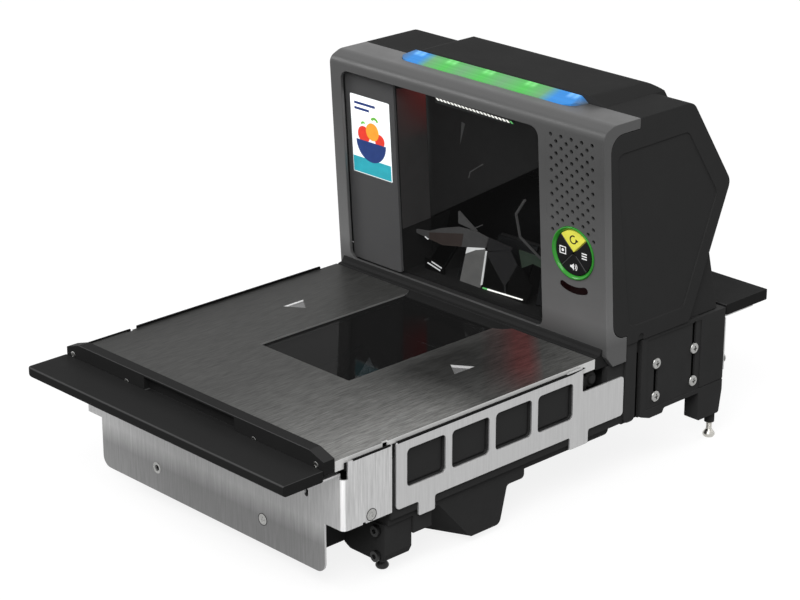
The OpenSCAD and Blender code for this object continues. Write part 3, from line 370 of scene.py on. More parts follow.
def apron_material():
    """Brushed apron with painted light: lighter upward, at its ends and on the side returns, and a painted
    highlight brightest in the bends.
    """
    look = brushed("apron_steel", "969696", (620, 620, 34), rough=0.4, spread=0.2, metal=0.5)
    # Painted light: lighter at both ends, darker on the front face and lighter upward on it, and lighter
    # on the side returns
    scale_base(look, by_place(look, "X", 1.36, 1.0, -0.13, -0.02))
    scale_base(look, by_place(look, "X", 1.0, 1.2, 0.09, 0.135))
    front = by_facing(look, "Y", 1.0, 0.0, -0.98, -0.6)
    rise = by_place(look, "Z", 0.0, 1.0, 0.024, 0.062)
    scale_base(look, range_of(look, front, 1.0, 0.66))
    scale_base(look, range_of(look, product_of(look, front, rise), 1.0, 1.95))
    to_side = math_of(look, "ABSOLUTE", facing_of(look, "X"))
    scale_base(look, range_of(look, to_side, 1.0, 1.65, 0.1, 0.9))
    # Painted highlight in the bends between front and side returns
    bend_highlight = product_of(look, to_side, by_facing(look, "Y", 1.0, 0.0, -0.9, -0.3))
    bend_highlight = product_of(look, bend_highlight, range_of(look, to_side, 1.0, 0.0, 0.75, 0.98))
    scale_base(look, range_of(look, bend_highlight, 1.0, 2.0, 0.0, 0.3))
    return look


def bezel_material():
    """Grey moulding with painted light: a little lighter downwards, painted shade at its foot, and a
    painted highlight on its right front edges.
    """
    look = moulded("bezel_grey_plastic", "525252", rough=0.38, spread=0.03)
    # Painted light: lighter downwards, with painted shade at the foot
    scale_base(look, by_place(look, "Z", 2.3, 1.0, 0.11, 0.25))
    scale_base(look, by_place(look, "Z", 0.5, 1.0, 0.114, 0.131))
    # Painted highlight where the surface faces right and to the front
    to_right = by_facing(look, "X", 0.0, 1.0, 0.25, 0.5)
    to_front = by_facing(look, "Y", 1.0, 0.0, -0.5, -0.25)
    corner = product_of(look, to_right, to_front)
    scale_base(look, range_of(look, corner, 1.0, 1.2, 0.0, 0.8))
    return look


def tower_black_material():
    """Black moulding with painted shade where it faces up."""
    look = moulded("tower_black_plastic", "3a3a3a", rough=0.55, spec=0.006, spread=0.03)
    # Painted shade: darker where the surface faces up
    scale_base(look, by_facing(look, "Z", 1.0, 0.62, 0.3, 0.95))
    return look


def filler_material():
    """Black moulding with a painted highlight on its upper edges."""
    look = moulded("filler_black_plastic", "282828", spec=0.01, spread=0.04)
    # Painted highlight on the rounded upper edges
    off_flat = by_facing(look, "Z", 1.0, 0.0, 0.85, 0.98)
    upward = by_facing(look, "Z", 0.0, 1.0, 0.2, 0.45)
    edge = product_of(look, off_flat, upward)
    scale_base(look, range_of(look, edge, 1.0, 3.2, 0.0, 0.8))
    return look


def deck_glass_material():
    """Glass of the deck with a painted dim red reflection of the tower, as glow."""
    look = plain_glass("deck_glass_coat", "030303", 0.7, 0.02, 0.009)
    # Painted red reflection of the tower's light in the glass's glow
    tones = [(0.0, 0.0), (0.1, 0.5), (0.85, 1.0), (0.95, 0.0)]
    red = painted_red_reflection(look, (-0.008, 0.013), tones, (0.0, 1.0, -0.03, 0.02))
    feed(look, "Emission Color", mix_of(look, red, WHITE, (1.9, 0.6, 0.6, 1)))
    return look


PLATTER_STEEL = platter_material()
ARROW_STEEL = brushed("arrow_steel", "747474", (900, 900, 900), rough=0.5, spread=0.4, metal=0.2)
# Painted highlight on the lit walls of the arrows' recesses
ARROW_HIGHLIGHT = brushed("arrow_painted_highlight", "f0f0f0", (900, 900, 900), rough=0.4, spread=0.2, metal=0.3)
PLATE_STEEL = brushed("plate_steel", "c3c3c3", (620, 620, 30), rough=0.42, spread=0.09, metal=0.6)
APRON_STEEL = apron_material()
BEZEL_GREY = bezel_material()
BLACK_PLASTIC = moulded("black_plastic", "3c3c3c", rough=0.55, spec=0.01)
TOWER_BLACK = tower_black_material()
CURB_BLACK = moulded("curb_black_plastic", "282828", spec=0.03)
FILLER_BLACK = filler_material()
TUB_BLACK = moulded("tub_black_plastic", "3a3a3a", rough=0.55, spec=0.01)
PAD_BLACK = moulded("pad_black_plastic", "2c2c2c", rough=0.4, spec=0.06)
# Black of the speaker's cloth and of the baffle's edge, and painted shade at the floors of the bracket
# slots
DEEP_BLACK = moulded("black_cloth_and_painted_shade", "060606", rough=0.8, spec=0.01, grain=900, depth=0.5)
RUBBER = moulded("rubber", "1a1a1a", rough=0.8, spec=0.05, grain=700, depth=0.5)
PANEL_DARK = moulded("panel_dark_satin", "9a9a9b", spec=0.1, spread=0.02, depth=0.03)
KEY_BLACK = moulded("key_black_rubber", "222223", rough=0.45, spec=0.08)
SCREW_STEEL = brushed("screw_steel", "a2a2a0", (400, 400, 400), rough=0.3, spread=0.2)
SCREW_DARK = brushed("screw_dark", "262626", (400, 400, 400), rough=0.4, spread=0.2, metal=0.5)
ZINC = brushed("zinc_steel", "c2c0ba", (40, 40, 1600), rough=0.3, spread=0.2)
CAST_METAL = moulded("cast_aluminium", "9c9ea0", spec=0.5, grain=500)
BRASS = brushed("turned_brass", "b08d4a", (900, 60, 60), rough=0.3)
CIRCUIT = moulded("circuit_board", "14502a", rough=0.45, spec=0.4, grain=300, spread=0.2)
SOCKET_METAL = brushed("plated_metal", "aaaaaa", (60, 60, 900), rough=0.3)
MIRROR = polished_mirror("mirror", "b4b8bb")
DARK_MIRROR = polished_mirror("dark_mirror", "202122", 0.4)
# Glow of the tower's inner facets, seen through the glass: painted reflections, painted glints and painted
# shade of the optics
PAINTED_FACET_BROWN = lit("facet_brown", "483f3c", 0.45, rough=0.35)
PAINTED_FACET_TONES = (("black", "0c0c0c", 0.2), ("dark", "303031", 0.5), ("grey", "585858", 0.5),
               ("bright", "747473", 0.6), ("pale", "dcdede", 1.2), ("green", "3a463c", 0.6))
PAINTED_FACETS = {tone: lit("facet_" + tone, code, glow) for tone, code, glow in PAINTED_FACET_TONES}
LAMP_GREEN = lit("lamp_green", "6fd07a", 1.2, rough=0.4)
# Painted light: the baffle glows though it holds no lamp
BAFFLE_PAINTED_GLOW = lit("baffle_painted_glow", "232323", 0.6, rough=0.7)
TOWER_GLASS = plain_glass("tower_glass_coat", "030303", 0.26, 0.0, 0.007)
DECK_GLASS = deck_glass_material()
LAMP_GREY = lit("lamp_grey", "4c4e4e", 0.05, rough=0.4)
LAMP_WHITE = lit("lamp_white", "fbfaf4", 2.0, rough=0.4)
RING_GREEN = lit("ring_green", "359a32", 0.05, rough=0.2)
KEY_YELLOW = lit("key_yellow", "f2ee5c", 0.2, rough=0.4)
ICON_WHITE = lit("icon_white", "f0f0f0", 0.3, rough=0.4)
ICON_BLACK = moulded("icon_black", "141412")
LENS = moulded("lens_red", "180708", rough=0.12, spread=0.1, depth=0.03)
SCREEN_PALE = lit("screen_pale", "e9eeee", 2.2)
SCREEN_WHITE = lit("screen_white", "ffffff", 2.6)
SCREEN_INKS = {"teal": "2c9aa8", "navy": "23386e", "red": "d63a2c", "orange": "f09a34", "green": "6cb04a"}
SCREEN = {ink: lit("screen_" + ink, code, 2.0) for ink, code in SCREEN_INKS.items()}


def light_bar_material():
    """Milky diffuser: blue at both ends, green between, with two faint spots over each lamp."""
    look = shader("light_bar_milky", srgb("5fc85f"), rough=0.45, spec=0.1, glow=0.36)
    low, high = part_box("light_bar")
    blue, green, grey, dull = srgb("3f92e2"), srgb("58c65b"), srgb("72ac79"), srgb("5c6a78")
    along = by_place(look, "X", 0.0, 1.0, low.x, high.x)
    stops = [(0.0, dull), (0.07, blue), (0.12, blue), (0.17, grey), (0.265, green), (0.363, grey),
             (0.475, green), (0.585, grey), (0.705, green), (0.81, grey), (0.87, blue), (0.97, blue),
             (1.0, dull)]
    base = ramp_of(look, along, stops)
    hot_blue, hot_green, dark = srgb("7292b0"), srgb("6a946a"), (0, 0, 0, 1)
    half, core = 0.017, 0.45
    spots = []
    for place, tint in ((0.082, hot_blue), (0.268, hot_green), (0.478, hot_green), (0.712, hot_green),
                        (0.94, hot_blue)):
        spots += [(place - 2 * half, dark), (place - half, tint), (place, scaled(tint, core)),
                  (place + half, tint), (place + 2 * half, dark)]
    spot = ramp_of(look, along, spots)
    across = by_place(look, "Y", 0.0, 1.0, high.y - 8 * MM, high.y - 4.5 * MM)
    glow = mix_of(look, across, base, spot, "ADD")
    for name in ("Base Color", "Emission Color"):
        feed(look, name, glow)
    lines = noise_of(look, (6, 900, 900))
    scale_base(look, range_of(look, lines, 0.55, 0.75))
    add_bump(look, lines, 0.3, 0.0001)
    return look


def painted_red_glow_material():
    """Dark wall with a painted dim red glow on its upper rear part."""
    look = moulded("glowing_wall", "787676", rough=0.6, spec=0.01, depth=0.05)
    rear = by_place(look, "Y", 0.1, 1.0, 0.056, 0.09)
    high = by_place(look, "Z", 0.0, 0.16, 0.22, 0.262)
    shader_input(look, "Emission Color").default_value = srgb("f0605c")
    feed(look, "Emission Strength", product_of(look, rear, high))
    return look


LIGHT_BAR = light_bar_material()
PAINTED_RED_GLOW_WALL = painted_red_glow_material()


# Building of pieces


def in_mm(box):
    return [corner / MM for corner in box]


def add_object(name, data):
    made = bpy.data.objects.new(name, data)
    bpy.context.scene.collection.objects.link(made)
    return made


def add_piece(name, mesh, look, body="base"):
    piece = add_object(name, mesh)
    mesh.materials.append(look)
    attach(piece, body)
    return piece


def bevel(piece, width, segments=2, angle=35):
    made = piece.modifiers.new("edges", "BEVEL")
    made.width = width * MM
    made.segments = segments
    made.limit_method = "ANGLE"
    made.angle_limit = math.radians(angle)
    made.harden_normals = True


def weigh_normals(piece):
    piece.modifiers.new("normals", "WEIGHTED_NORMAL").keep_sharp = False


def smooth(piece):
    for face in piece.data.polygons:
        face.use_smooth = True


def mesh_of(build):
    """Mesh from a function that fills a bmesh."""
    mesh = bpy.data.meshes.new("mesh")
    work = bmesh.new()
    build(work)
    bmesh.ops.recalc_face_normals(work, faces=work.faces)
    work.to_mesh(mesh)
    work.free()
    return mesh


def bridge(work, first, second):
    """Band of faces between two closed rows of points."""
    count = len(first)
    for i in range(count):
        k = (i + 1) % count
        work.faces.new((first[i], first[k], second[k], second[i]))


def add_prism(work, outline, depth0, depth1, place):
    """Prism of a closed outline in x and h, from depth0 to depth1, put in place by a matrix."""
    near = [work.verts.new(place @ Vector((x, depth0, h))) for x, h in outline]
    far = [work.verts.new(place @ Vector((x, depth1, h))) for x, h in outline]
    work.faces.new(near)
    work.faces.new(far)
    bridge(work, near, far)


def add_pair(work, outline, depth0, depth1):
    """Prism in a side view on the right, and its mirror image on the left."""
    for side in (1, -1):
        add_prism(work, outline, side * depth0, side * depth1, SIDE)


def add_frame(work, outer, inner, depth0, depth1, place):
    """Prism with a hole: outer and inner outline have the same number of points."""
    rows = [[work.verts.new(place @ Vector((x, depth, h))) for x, h in outline]
            for outline, depth in ((outer, depth0), (outer, depth1), (inner, depth1), (inner, depth0))]
    for i in range(4):
        bridge(work, rows[i], rows[(i + 1) % 4])


def facing(origin, direction):
    """Frame in millimetres whose z leads out of a surface."""
    turn = Vector(direction).to_track_quat("Z", "Y").to_matrix().to_4x4()
    return Matrix.Translation(Vector(origin) * MM) @ turn @ Matrix.Scale(MM, 4)


def add_ring(work, radius, z, place, steps=28):
    made = []
    for i in range(steps):
        angle = math.tau * i / steps
        point = Vector((radius * math.cos(angle), radius * math.sin(angle), z))
        made.append(work.verts.new(place @ point))
    return made


def add_loft(work, rows):
    """Bands between successive closed rows of points, with a face over both ends."""
    for first, second in zip(rows, rows[1:]):
        bridge(work, first, second)
    work.faces.new(rows[0])
    work.faces.new(rows[-1])


def add_hoop(work, profile, place, steps=28):
    """Ring whose section is a closed profile of radius and height."""
    rings = [add_ring(work, radius, z, place, steps) for radius, z in profile]
    for i in range(len(rings)):
        bridge(work, rings[i - 1], rings[i])


def add_screw(work, place, radius, height, recess):
    """Pan head with a cross recess."""
    rise = [(1.0, 0.0), (1.0, 0.35), (0.94, 0.68), (0.82, 0.9), (0.66, 1.0)]
    rings = [add_ring(work, radius * r, height * z, place) for r, z in rise]
    work.faces.new(rings[0])
    for first, second in zip(rings, rings[1:]):
        bridge(work, first, second)
    arm, half = 0.5 * radius, 0.14 * radius
    cross = [(arm, -half), (arm, half), (half, half), (half, arm), (-half, arm), (-half, half),
             (-arm, half), (-arm, -half), (-half, -half), (-half, -arm), (half, -arm), (half, -half)]
    rim = [work.verts.new(place @ Vector((x, y, height))) for x, y in cross]
    floor = [work.verts.new(place @ Vector((0.8 * x, 0.8 * y, height - recess))) for x, y in cross]
    bridge(work, rim, floor)
    work.faces.new(floor)
    edges = []
    for loop in (rings[-1], rim):
        edges += [work.edges.get((loop[i - 1], loop[i])) for i in range(len(loop))]
    bmesh.ops.triangle_fill(work, use_beauty=True, edges=edges)


def arc(centre, radius, start, end, steps=12):
    """Points on an arc, angles in degrees."""
    made = []
    for i in range(steps + 1):
        angle = math.radians(start + (end - start) * i / steps)
        made.append((centre[0] + radius * math.cos(angle), centre[1] + radius * math.sin(angle)))
    return made


def disc(centre, radius, steps=24):
    return arc(centre, radius, 0, 360 - 360 / steps, steps - 1)


def band(centre, inner, outer, start, end, steps=16):
    """Outline of a curved band."""
    return arc(centre, outer, start, end, steps) + arc(centre, inner, end, start, steps)


def rounded_rectangle(x0, x1, h0, h1, radius):
    corners = [((x1 - radius, h1 - radius), 0), ((x0 + radius, h1 - radius), 90),
               ((x0 + radius, h0 + radius), 180), ((x1 - radius, h0 + radius), 270)]
    return [p for centre, start in corners for p in arc(centre, radius, start, start + 90, 5)]


def rectangle(x0, x1, h0, h1):
    return [(x0, h0), (x1, h0), (x1, h1), (x0, h1)]


def prism_piece(name, outlines, depth0, depth1, place, look, body="base", edge=0.0):
    def build(work):
        for outline in outlines:
            add_prism(work, outline, depth0, depth1, place)

    piece = add_piece(name, mesh_of(build), look, body)
    if edge:
        bevel(piece, edge)
    return piece


# Finish of the solids


def dress(node, look, width=0.4):
    """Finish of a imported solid: its material and softly broken edges."""
    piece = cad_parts[node]
    piece.data.materials.clear()
    piece.data.materials.append(look)
    weld = piece.modifiers.new("weld", "WELD")
    weld.merge_threshold = 0.002 * MM
    flat = piece.modifiers.new("flat", "DECIMATE")
    flat.decimate_type = "DISSOLVE"
    flat.angle_limit = math.radians(0.5)
    bevel(piece, width)
    weigh_normals(piece)


def dress_all():
    finishes = {
        PLATTER_STEEL: ["platter"],
        PLATE_STEEL: ["side_plate_left", "side_plate_right", "rear_filler_bracket"],
        APRON_STEEL: ["front_bracket"],
        BEZEL_GREY: ["tower_bezel", "control_panel"],
        TOWER_BLACK: ["tower_shell", "cable_cover", "top_cover"],
        FILLER_BLACK: ["rear_filler", "produce_rail"],
        CURB_BLACK: ["rear_sill"],
        BLACK_PLASTIC: ["rear_base", "rear_bracket_left", "rear_bracket_right", "front_leg_left",
                        "front_leg_right", "front_frame", "tower_bench"],
        DEEP_BLACK: ["speaker"],
        TUB_BLACK: ["base_tub", "optics_chassis", "window_frame"],
        PANEL_DARK: ["display_panel"],
        RUBBER: ["platter_pads"],
        CAST_METAL: ["weigh_frame", "load_cell", "load_cell_spacers"],
        SCREW_DARK: ["leg_bolts"],
        ZINC: ["scan_motor"],
        CIRCUIT: ["light_board", "key_board", "main_board"],
        BRASS: ["laser_module"],
        SOCKET_METAL: ["io_sockets"],
        MIRROR: ["base_mirrors", "polygon_mirror"],
        DARK_MIRROR: ["tower_mirrors"],
        LAMP_GREY: ["illumination_bar"],
        KEY_YELLOW: ["key_top"],
        KEY_BLACK: ["key_right", "key_bottom", "key_left"],
        LENS: ["ir_lens"],
        LIGHT_BAR: ["light_bar"],
        SCREEN_PALE: ["display_screen"],
    }
    edges = {"tower_bezel": 0.9, "control_panel": 0.08, "produce_rail": 0.3, "rear_filler": 1.4}
    for look, nodes in finishes.items():
        for node in nodes:
            dress(node, look, edges.get(node, 0.4))


# Glasses


def glasses():
    low, high = in_mm(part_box("tower_glass"))
    top = (high.z - DECK) / math.cos(LEAN) - 1
    outline = rounded_rectangle(low.x, high.x, 3.8, top, 2)
    pane = prism_piece("tower_pane", [outline], GLASS_FRONT, GLASS_BACK, FACE, TOWER_GLASS)
    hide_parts("tower_glass")
    low, high = in_mm(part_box("deck_glass"))
    outline = rounded_rectangle(low.x, high.x, low.y, high.y, 1)
    pane = prism_piece("deck_pane", [outline], low.z, high.z, PLAN, DECK_GLASS)
    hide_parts("deck_glass")


# Fasteners and feet


def screws(name, node, places, radius, height, recess):
    def build(work):
        for origin, direction in places:
            add_screw(work, facing(origin, direction), radius, height, recess)

    piece = add_piece(name, mesh_of(build), SCREW_STEEL)
    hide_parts(node)


def mirrored(x, y, z, direction):
    """A place on the right and its mirror image on the left."""
    return [((side * x, y, z), (side * direction[0], direction[1], direction[2])) for side in (1, -1)]


def all_screws():
    bracket_x = PLATE_X - 0.6
    bracket = []
    for y in BRACKET_YS:
        for z in BRACKET_ZS:
            bracket += mirrored(bracket_x, y, z, (1, 0, 0))
    screws("bracket_screw_heads", "bracket_screws", bracket, 4.4, 1.75, 1.1)

    apron = mirrored(PLATE_X, APRON_Y + 25.8, PLATE_Z + 5.1, (1, 0, 0))
    apron.append(((APRON_HOLE_X, APRON_Y, APRON_HOLE_Z), (0, -1, 0)))
    head_r, rim_r, rim_h = 4.2, 4.7, 0.2
    screws("apron_screw_heads", "apron_screws", apron, head_r, 0.3, 0.28)

    # Painted shadow: dark rings round the apron's screw heads, where the gap lies in shade
    def build_shadow_rings(work):
        profile = [(head_r, 0), (head_r, rim_h), (rim_r, rim_h), (rim_r, 0)]
        for origin, direction in apron:
            add_hoop(work, profile, facing(origin, direction))

    add_piece("apron_screw_shadow_rings", mesh_of(build_shadow_rings), SCREW_DARK)

    rail_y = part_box("produce_rail")[0].y / MM
    filler_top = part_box("front_filler")[1].z / MM
    rail = []
    for x, rise in ((PLATE_X - 9.4, 1.5), (PLATE_X - 73.4, -1)):
        rail += mirrored(x, rail_y, filler_top + rise, (0, -1, 0))
    screws("rail_screw_heads", "rail_screws", rail, 2.5, 0.3, 0.25)

    shelf_low, shelf_high = in_mm(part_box("rear_filler_bracket"))
    rear = mirrored(PLATE_X - 3.5, shelf_low.y + PLATE_T, DECK - 41, (0, 1, 0))
    rear += mirrored(PLATE_X - 42.8, shelf_high.y - 14, shelf_high.z - PLATE_T, (0, 0, -1))
    screws("rear_screw_heads", "rear_filler_screws", rear, 4.2, 1.9, 1.1)


def threaded_foot(node, look, leg_z):
    """Levelling foot with a threaded stud."""
    low, high = in_mm(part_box(node))
    radius = (high.x - low.x) / 2
    middle = (low + high) / 2
    stud, stud_z = 2.4, 6.4
    pitch, depth, steps, rows_per_turn = 1.0, 0.28, 24, 8
    place = Matrix.Translation((middle.x * MM, middle.y * MM, 0)) @ Matrix.Scale(MM, 4)
    profile = [(radius - 1.5, 0), (radius - 0.9, 0.3), (radius - 0.1, 1.6), (radius, 2.4),
               (radius - 0.3, 3.4), (stud + 1, 5.0), (stud + 0.2, 6.2)]

    def build(work):
        rings = [add_ring(work, r, z, place, steps) for r, z in profile]
        rows = round((leg_z + 2 - stud_z) / pitch * rows_per_turn)
        for row in range(rows + 1):
            z = stud_z + row * pitch / rows_per_turn
            ring = []
            for i in range(steps):
                angle = math.tau * i / steps
                wave = 0.5 + 0.5 * math.cos(math.tau * z / pitch - angle)
                r = stud - depth * wave
                ring.append(work.verts.new(place @ Vector((r * math.cos(angle), r * math.sin(angle), z))))
            rings.append(ring)
        rings.append(add_ring(work, stud - depth, high.z, place, steps))
        add_loft(work, rings)

    piece = add_piece(node + "_threaded", mesh_of(build), look, node)
    smooth(piece)
    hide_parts(node)


def feet():
    for side in ("left", "right"):
        threaded_foot("foot_front_" + side, SCREW_DARK, 12)
        threaded_foot("foot_rear_" + side, ZINC, 13)


# Base details


def window_pads():
    count, width, height, pitch = 4, 34.1, 25.6, 43.7
    low = PLATE_Z + 16
    inner = PLATE_X - PLATE_T - 3

    def build(work):
        for i in range(count):
            y = PLATE_Y0 + 12 + i * pitch
            outline = rounded_rectangle(y, y + width, low, low + height, 2.4)
            add_pair(work, outline, inner, inner + 1.7)

    bevel(add_piece("window_pads", mesh_of(build), PAD_BLACK), 0.8, 3)


def notch_bosses():
    profile = [(6.2, 0), (6.2, 2.4), (5.4, 3.2), (3.6, 3.2), (3.6, 4.6), (2.8, 5.2)]
    wall_x = PLATE_X - 8.8
    block = rounded_rectangle(TOWER_Y - 22, TOWER_Y - 14, DECK - 24.2, DECK - 13, 1.2)

    def build(work):
        for side in (1, -1):
            place = facing((side * wall_x, TOWER_Y - 9.5, DECK - 16.6), (side, 0, 0))
            add_loft(work, [add_ring(work, radius, z, place) for radius, z in profile])
        add_pair(work, block, wall_x, wall_x + 3.2)

    bevel(add_piece("notch_bosses", mesh_of(build), PAD_BLACK), 0.3)


def gap_shadow_strips():
    """Dark strips inside the side plates, and along upper edges of plates and apron: painted shade in the
    gaps beside the platter.
    """
    inner = PLATE_X - PLATE_T
    y0, y1 = APRON_Y + 3, TOWER_Y - 26
    strips = ((1, y0, y1, DECK - 3.6), (-1, y0, PLATE_Y0 - 6, DECK + 0.8), (-1, PLATE_Y0, y1, DECK + 1.7))
    edge_y0, edge_y1, taper = PLATE_Y0 + 1.5, TOWER_Y - 22, 14
    edge_top, edge_low = PLATE_TOP + 0.15, PLATE_TOP - 1.3
    edge = [(edge_y0, edge_low), (edge_y1 - taper, edge_low), (edge_y1, PLATE_TOP), (edge_y1, edge_top),
            (edge_y0, edge_top)]
    fold = rectangle(APRON_Y + 9, PLATE_Y0 - 5.2, PLATE_TOP - 0.9, edge_top)

    def build(work):
        for side, start, end, top in strips:
            outline = rounded_rectangle(start, end, DECK - 9.3, top, 0.5)
            add_prism(work, outline, side * (inner - 1.15), side * (inner - 0.05), SIDE)
        for outline in (edge, fold):
            add_pair(work, outline, inner - 0.05, PLATE_X + 0.12)

    # Painted shade: dark strips in the gaps, made in the rubber material
    add_piece("gap_shadow_strips", mesh_of(build), RUBBER)


def apron_eyelet():
    profile = [(2.5, 0.0), (2.5, 0.25), (2.9, 0.4), (3.9, 0.4), (4.4, 0.2), (4.4, 0.0)]
    place = facing((-APRON_HOLE_X, APRON_Y, APRON_HOLE_Z), (0, -1, 0))
    mesh = mesh_of(lambda work: add_hoop(work, profile, place))
    add_piece("apron_eyelet", mesh, SCREW_STEEL)


def painted_slot_shadows():
    """Painted shadow: dark sheets at the floors of the rear brackets' height slots and of the groove in
    front of them.
    """
    half, end, floor = 2.1, 3.9, PLATE_X - 2.5
    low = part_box("rear_base")[0].z / MM
    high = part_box("rear_bracket_right")[1].z / MM
    tops = (BRACKET_ZS[1] + end, high - 2.2)
    slots = [rounded_rectangle(y - half, y + half, BRACKET_ZS[0] - end, top, 2)
             for y, top in zip(BRACKET_YS, tops)]
    groove = rectangle(TOWER_Y + 35.1, TOWER_Y + 41.1, low + 1, DECK - 9)

    def build(work):
        for outline in slots:
            add_pair(work, outline, floor + 0.02, floor + 0.2)
        add_pair(work, groove, floor - 1.55, floor - 1.4)

    add_piece("slot_painted_shadows", mesh_of(build), DEEP_BLACK)


def sill_curb():
    """Raised rear part of the sill, in front of the bezel's foot."""
    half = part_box("rear_sill")[1].x / MM - 0.4
    profile = [(-7.2, -0.35), (-6.9, 0.4), (-3.8, 0.9), (-2.2, 2.4), (-1.3, 4.7), (-0.9, 5.3), (-0.4, 5.3),
               (-0.4, -0.35)]
    outline = [(TOWER_Y + y, DECK + z) for y, z in profile]
    piece = prism_piece("sill_curb", [outline], -half, half, SIDE, CURB_BLACK)
    bevel(piece, 0.5, 3, 20)


def front_filler_plate():
    """Filler plate with a round left end and crisp edges elsewhere."""
    low, high = in_mm(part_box("front_filler"))
    end_r, plan_r, crisp, steps = 4.2, 6.0, 0.5, 8
    stations = []
    for i in range(steps + 1):
        angle = math.radians(90 * i / steps)
        stations.append((low.x + end_r * (1 - math.cos(angle)), end_r * (1 - math.sin(angle))))
    stations += [(low.x + plan_r, 0), (high.x - crisp, 0), (high.x, crisp)]

    def section(x, inset):
        left = max(0.0, plan_r - (x - low.x))
        front = low.y + inset + plan_r - math.sqrt(plan_r ** 2 - min(left, plan_r - 0.5) ** 2)
        back, top, bottom = high.y - inset, high.z - inset, low.z + inset
        corners = [((back, top), (-1, -1), 0.6, 0), ((front, top), (1, -1), 1.4, 90),
                   ((front, bottom), (1, 1), 3.0, 180), ((back, bottom), (-1, 1), 1.0, 270)]
        points = []
        for (y, z), (to_y, to_z), radius, start in corners:
            radius = max(0.05, radius - inset)
            points += arc((y + to_y * radius, z + to_z * radius), radius, start, start + 90, 4)
        return [Vector((x, y, z)) * MM for y, z in points]

    def build(work):
        rows = [[work.verts.new(point) for point in section(x, inset)] for x, inset in stations]
        add_loft(work, rows)

    piece = add_piece("front_filler_plate", mesh_of(build), FILLER_BLACK)
    smooth(piece)
    weigh_normals(piece)
    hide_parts("front_filler")


def arrows():
    """Floors of the two arrows beside the window, and rims with a painted highlight on their lit walls."""
    window_x, window_y, half_x, half_y = -4.7, 100.7, 79.2, 74.1
    length, half_width, rise = 14.6, 9.9, 0.08
    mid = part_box("platter")[0].y / MM + window_y + half_y
    floor = DECK - 0.6

    def rim(first, second, third, share):
        """Strip along one side of a triangle."""
        inner = [tuple(Vector(corner).lerp(Vector(third), share)) for corner in (second, first)]
        return [first, second, *inner]

    outlines, rims = [], []
    for side in (1, -1):
        tip = (window_x + side * (half_x + 0.5), mid)
        foot = window_x + side * (half_x + length)
        rear, front = (foot, mid + half_width), (foot, mid - half_width)
        outlines.append([tip, rear, front])
        rims.append(rim(tip, rear, front, 0.2) if side > 0 else rim(front, rear, tip, 0.14))
    prism_piece("arrow_floors", outlines, floor, floor + rise, PLAN, ARROW_STEEL, "platter")
    prism_piece("arrow_highlight_rims", rims, floor, DECK - 0.1, PLAN, ARROW_HIGHLIGHT, "platter")


# Tower: lamps, keys, display and optics


def lamp_segments():
    """Slanted segments of the illumination bar, and its green end."""
    low, high = in_mm(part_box("illumination_bar"))
    count, slant, filled = 20, -2.0, 0.5
    pitch = (high.x - low.x - 3) / count
    bottom, height, drop = 160.5, 1.6, 1.2
    outlines = []
    for i in range(count + 1):
        x = low.x + 1 - slant + i * pitch
        h = bottom - drop * i / count
        right = x + filled * pitch
        outlines.append([(x, h), (right, h), (right + slant, h + height), (x + slant, h + height)])
    depth0 = PANEL_FRONT - 0.25
    prism_piece("lamp_segments", outlines[:-1], depth0, PANEL_FRONT, FACE, LAMP_WHITE)
    prism_piece("lamp_end", outlines[-1:], depth0, PANEL_FRONT, FACE, LAMP_GREEN)


def icon(name, key, outlines, look):
    moved = [[(KEY_X + x, KEY_H + h) for x, h in outline] for outline in outlines]
    prism_piece(name, moved, KEY_FACE - 0.12, KEY_FACE, FACE, look, key)


def key_ring():
    """Lit ring with a round front and a sloped inner wall, and the webs between the keys."""
    profile = [(20.7, -2.0), (20.7, 0.5), (20.45, 0.85), (20.0, 1.0), (19.6, 0.9), (19.2, 0.5),
               (18.0, -0.6), (17.85, -2.0)]
    centre = FACE @ Vector((KEY_X, 0, KEY_H)) / MM
    place = facing(centre, FACE.to_3x3() @ Vector((0, -1, 0)))
    mesh = mesh_of(lambda work: add_hoop(work, profile, place, 64))
    ring = add_piece("key_ring_lit", mesh, RING_GREEN)
    smooth(ring)
    weigh_normals(ring)
    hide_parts("key_ring")

    inner_r, outer_r, half = 3, 17.2, 0.16
    webs = []
    for angle in (135, 225, 315):
        x, h = math.cos(math.radians(angle)), math.sin(math.radians(angle))
        corners = ((inner_r, -half), (outer_r, -half), (outer_r, half), (inner_r, half))
        webs.append([(KEY_X + r * x - offset * h, KEY_H + r * h + offset * x) for r, offset in corners])
    prism_piece("key_webs", webs, KEY_FACE + 0.15, KEY_FACE + 4.8, FACE, BEZEL_GREY)


def panel_rim():
    """Thin rim over the joint between control panel and bezel."""
    half, low, high, reach = 27, 38, 167, 1.2
    outer = rounded_rectangle(KEY_X - half - reach, KEY_X + half + reach, low - reach, high + reach, 5.2)
    inner = rounded_rectangle(KEY_X - half + reach, KEY_X + half - reach, low + reach, high - reach, 2.8)
    mesh = mesh_of(lambda work: add_frame(work, outer, inner, -0.03, 0.03, FACE))
    add_piece("panel_rim", mesh, BEZEL_GREY)


def key_icons():
    reach = 10.6
    turn = [band((0, reach), 2.5, 3.5, 60, 340), [(2.0, 8.6), (5.2, 10.2), (2.4, 11.8)]]
    icon("icon_turn", "key_top", turn, ICON_BLACK)
    frame_parts = [rectangle(-13.8, -7.4, 2.3, 3.0), rectangle(-13.8, -7.4, -3.0, -2.3),
                   rectangle(-13.8, -13.1, -2.3, 2.3), rectangle(-8.1, -7.4, -2.3, 2.3)]
    icon("icon_note", "key_left", frame_parts + [disc((-reach, 0), 1.2, 16)], ICON_WHITE)
    sound = [[(-3.4, -11.8), (-2.0, -11.8), (0.2, -13.6), (0.2, -8.2), (-2.0, -10.0), (-3.4, -10.0)],
             band((0, -10.9), 1.6, 2.2, -50, 50, 8), band((0, -10.9), 3.0, 3.6, -50, 50, 8)]
    icon("icon_sound", "key_bottom", sound, ICON_WHITE)
    bars = [rectangle(8.2, 13.2, h - 0.45, h + 0.45) for h in (-2, 0, 2)]
    icon("icon_bars", "key_right", bars, ICON_WHITE)


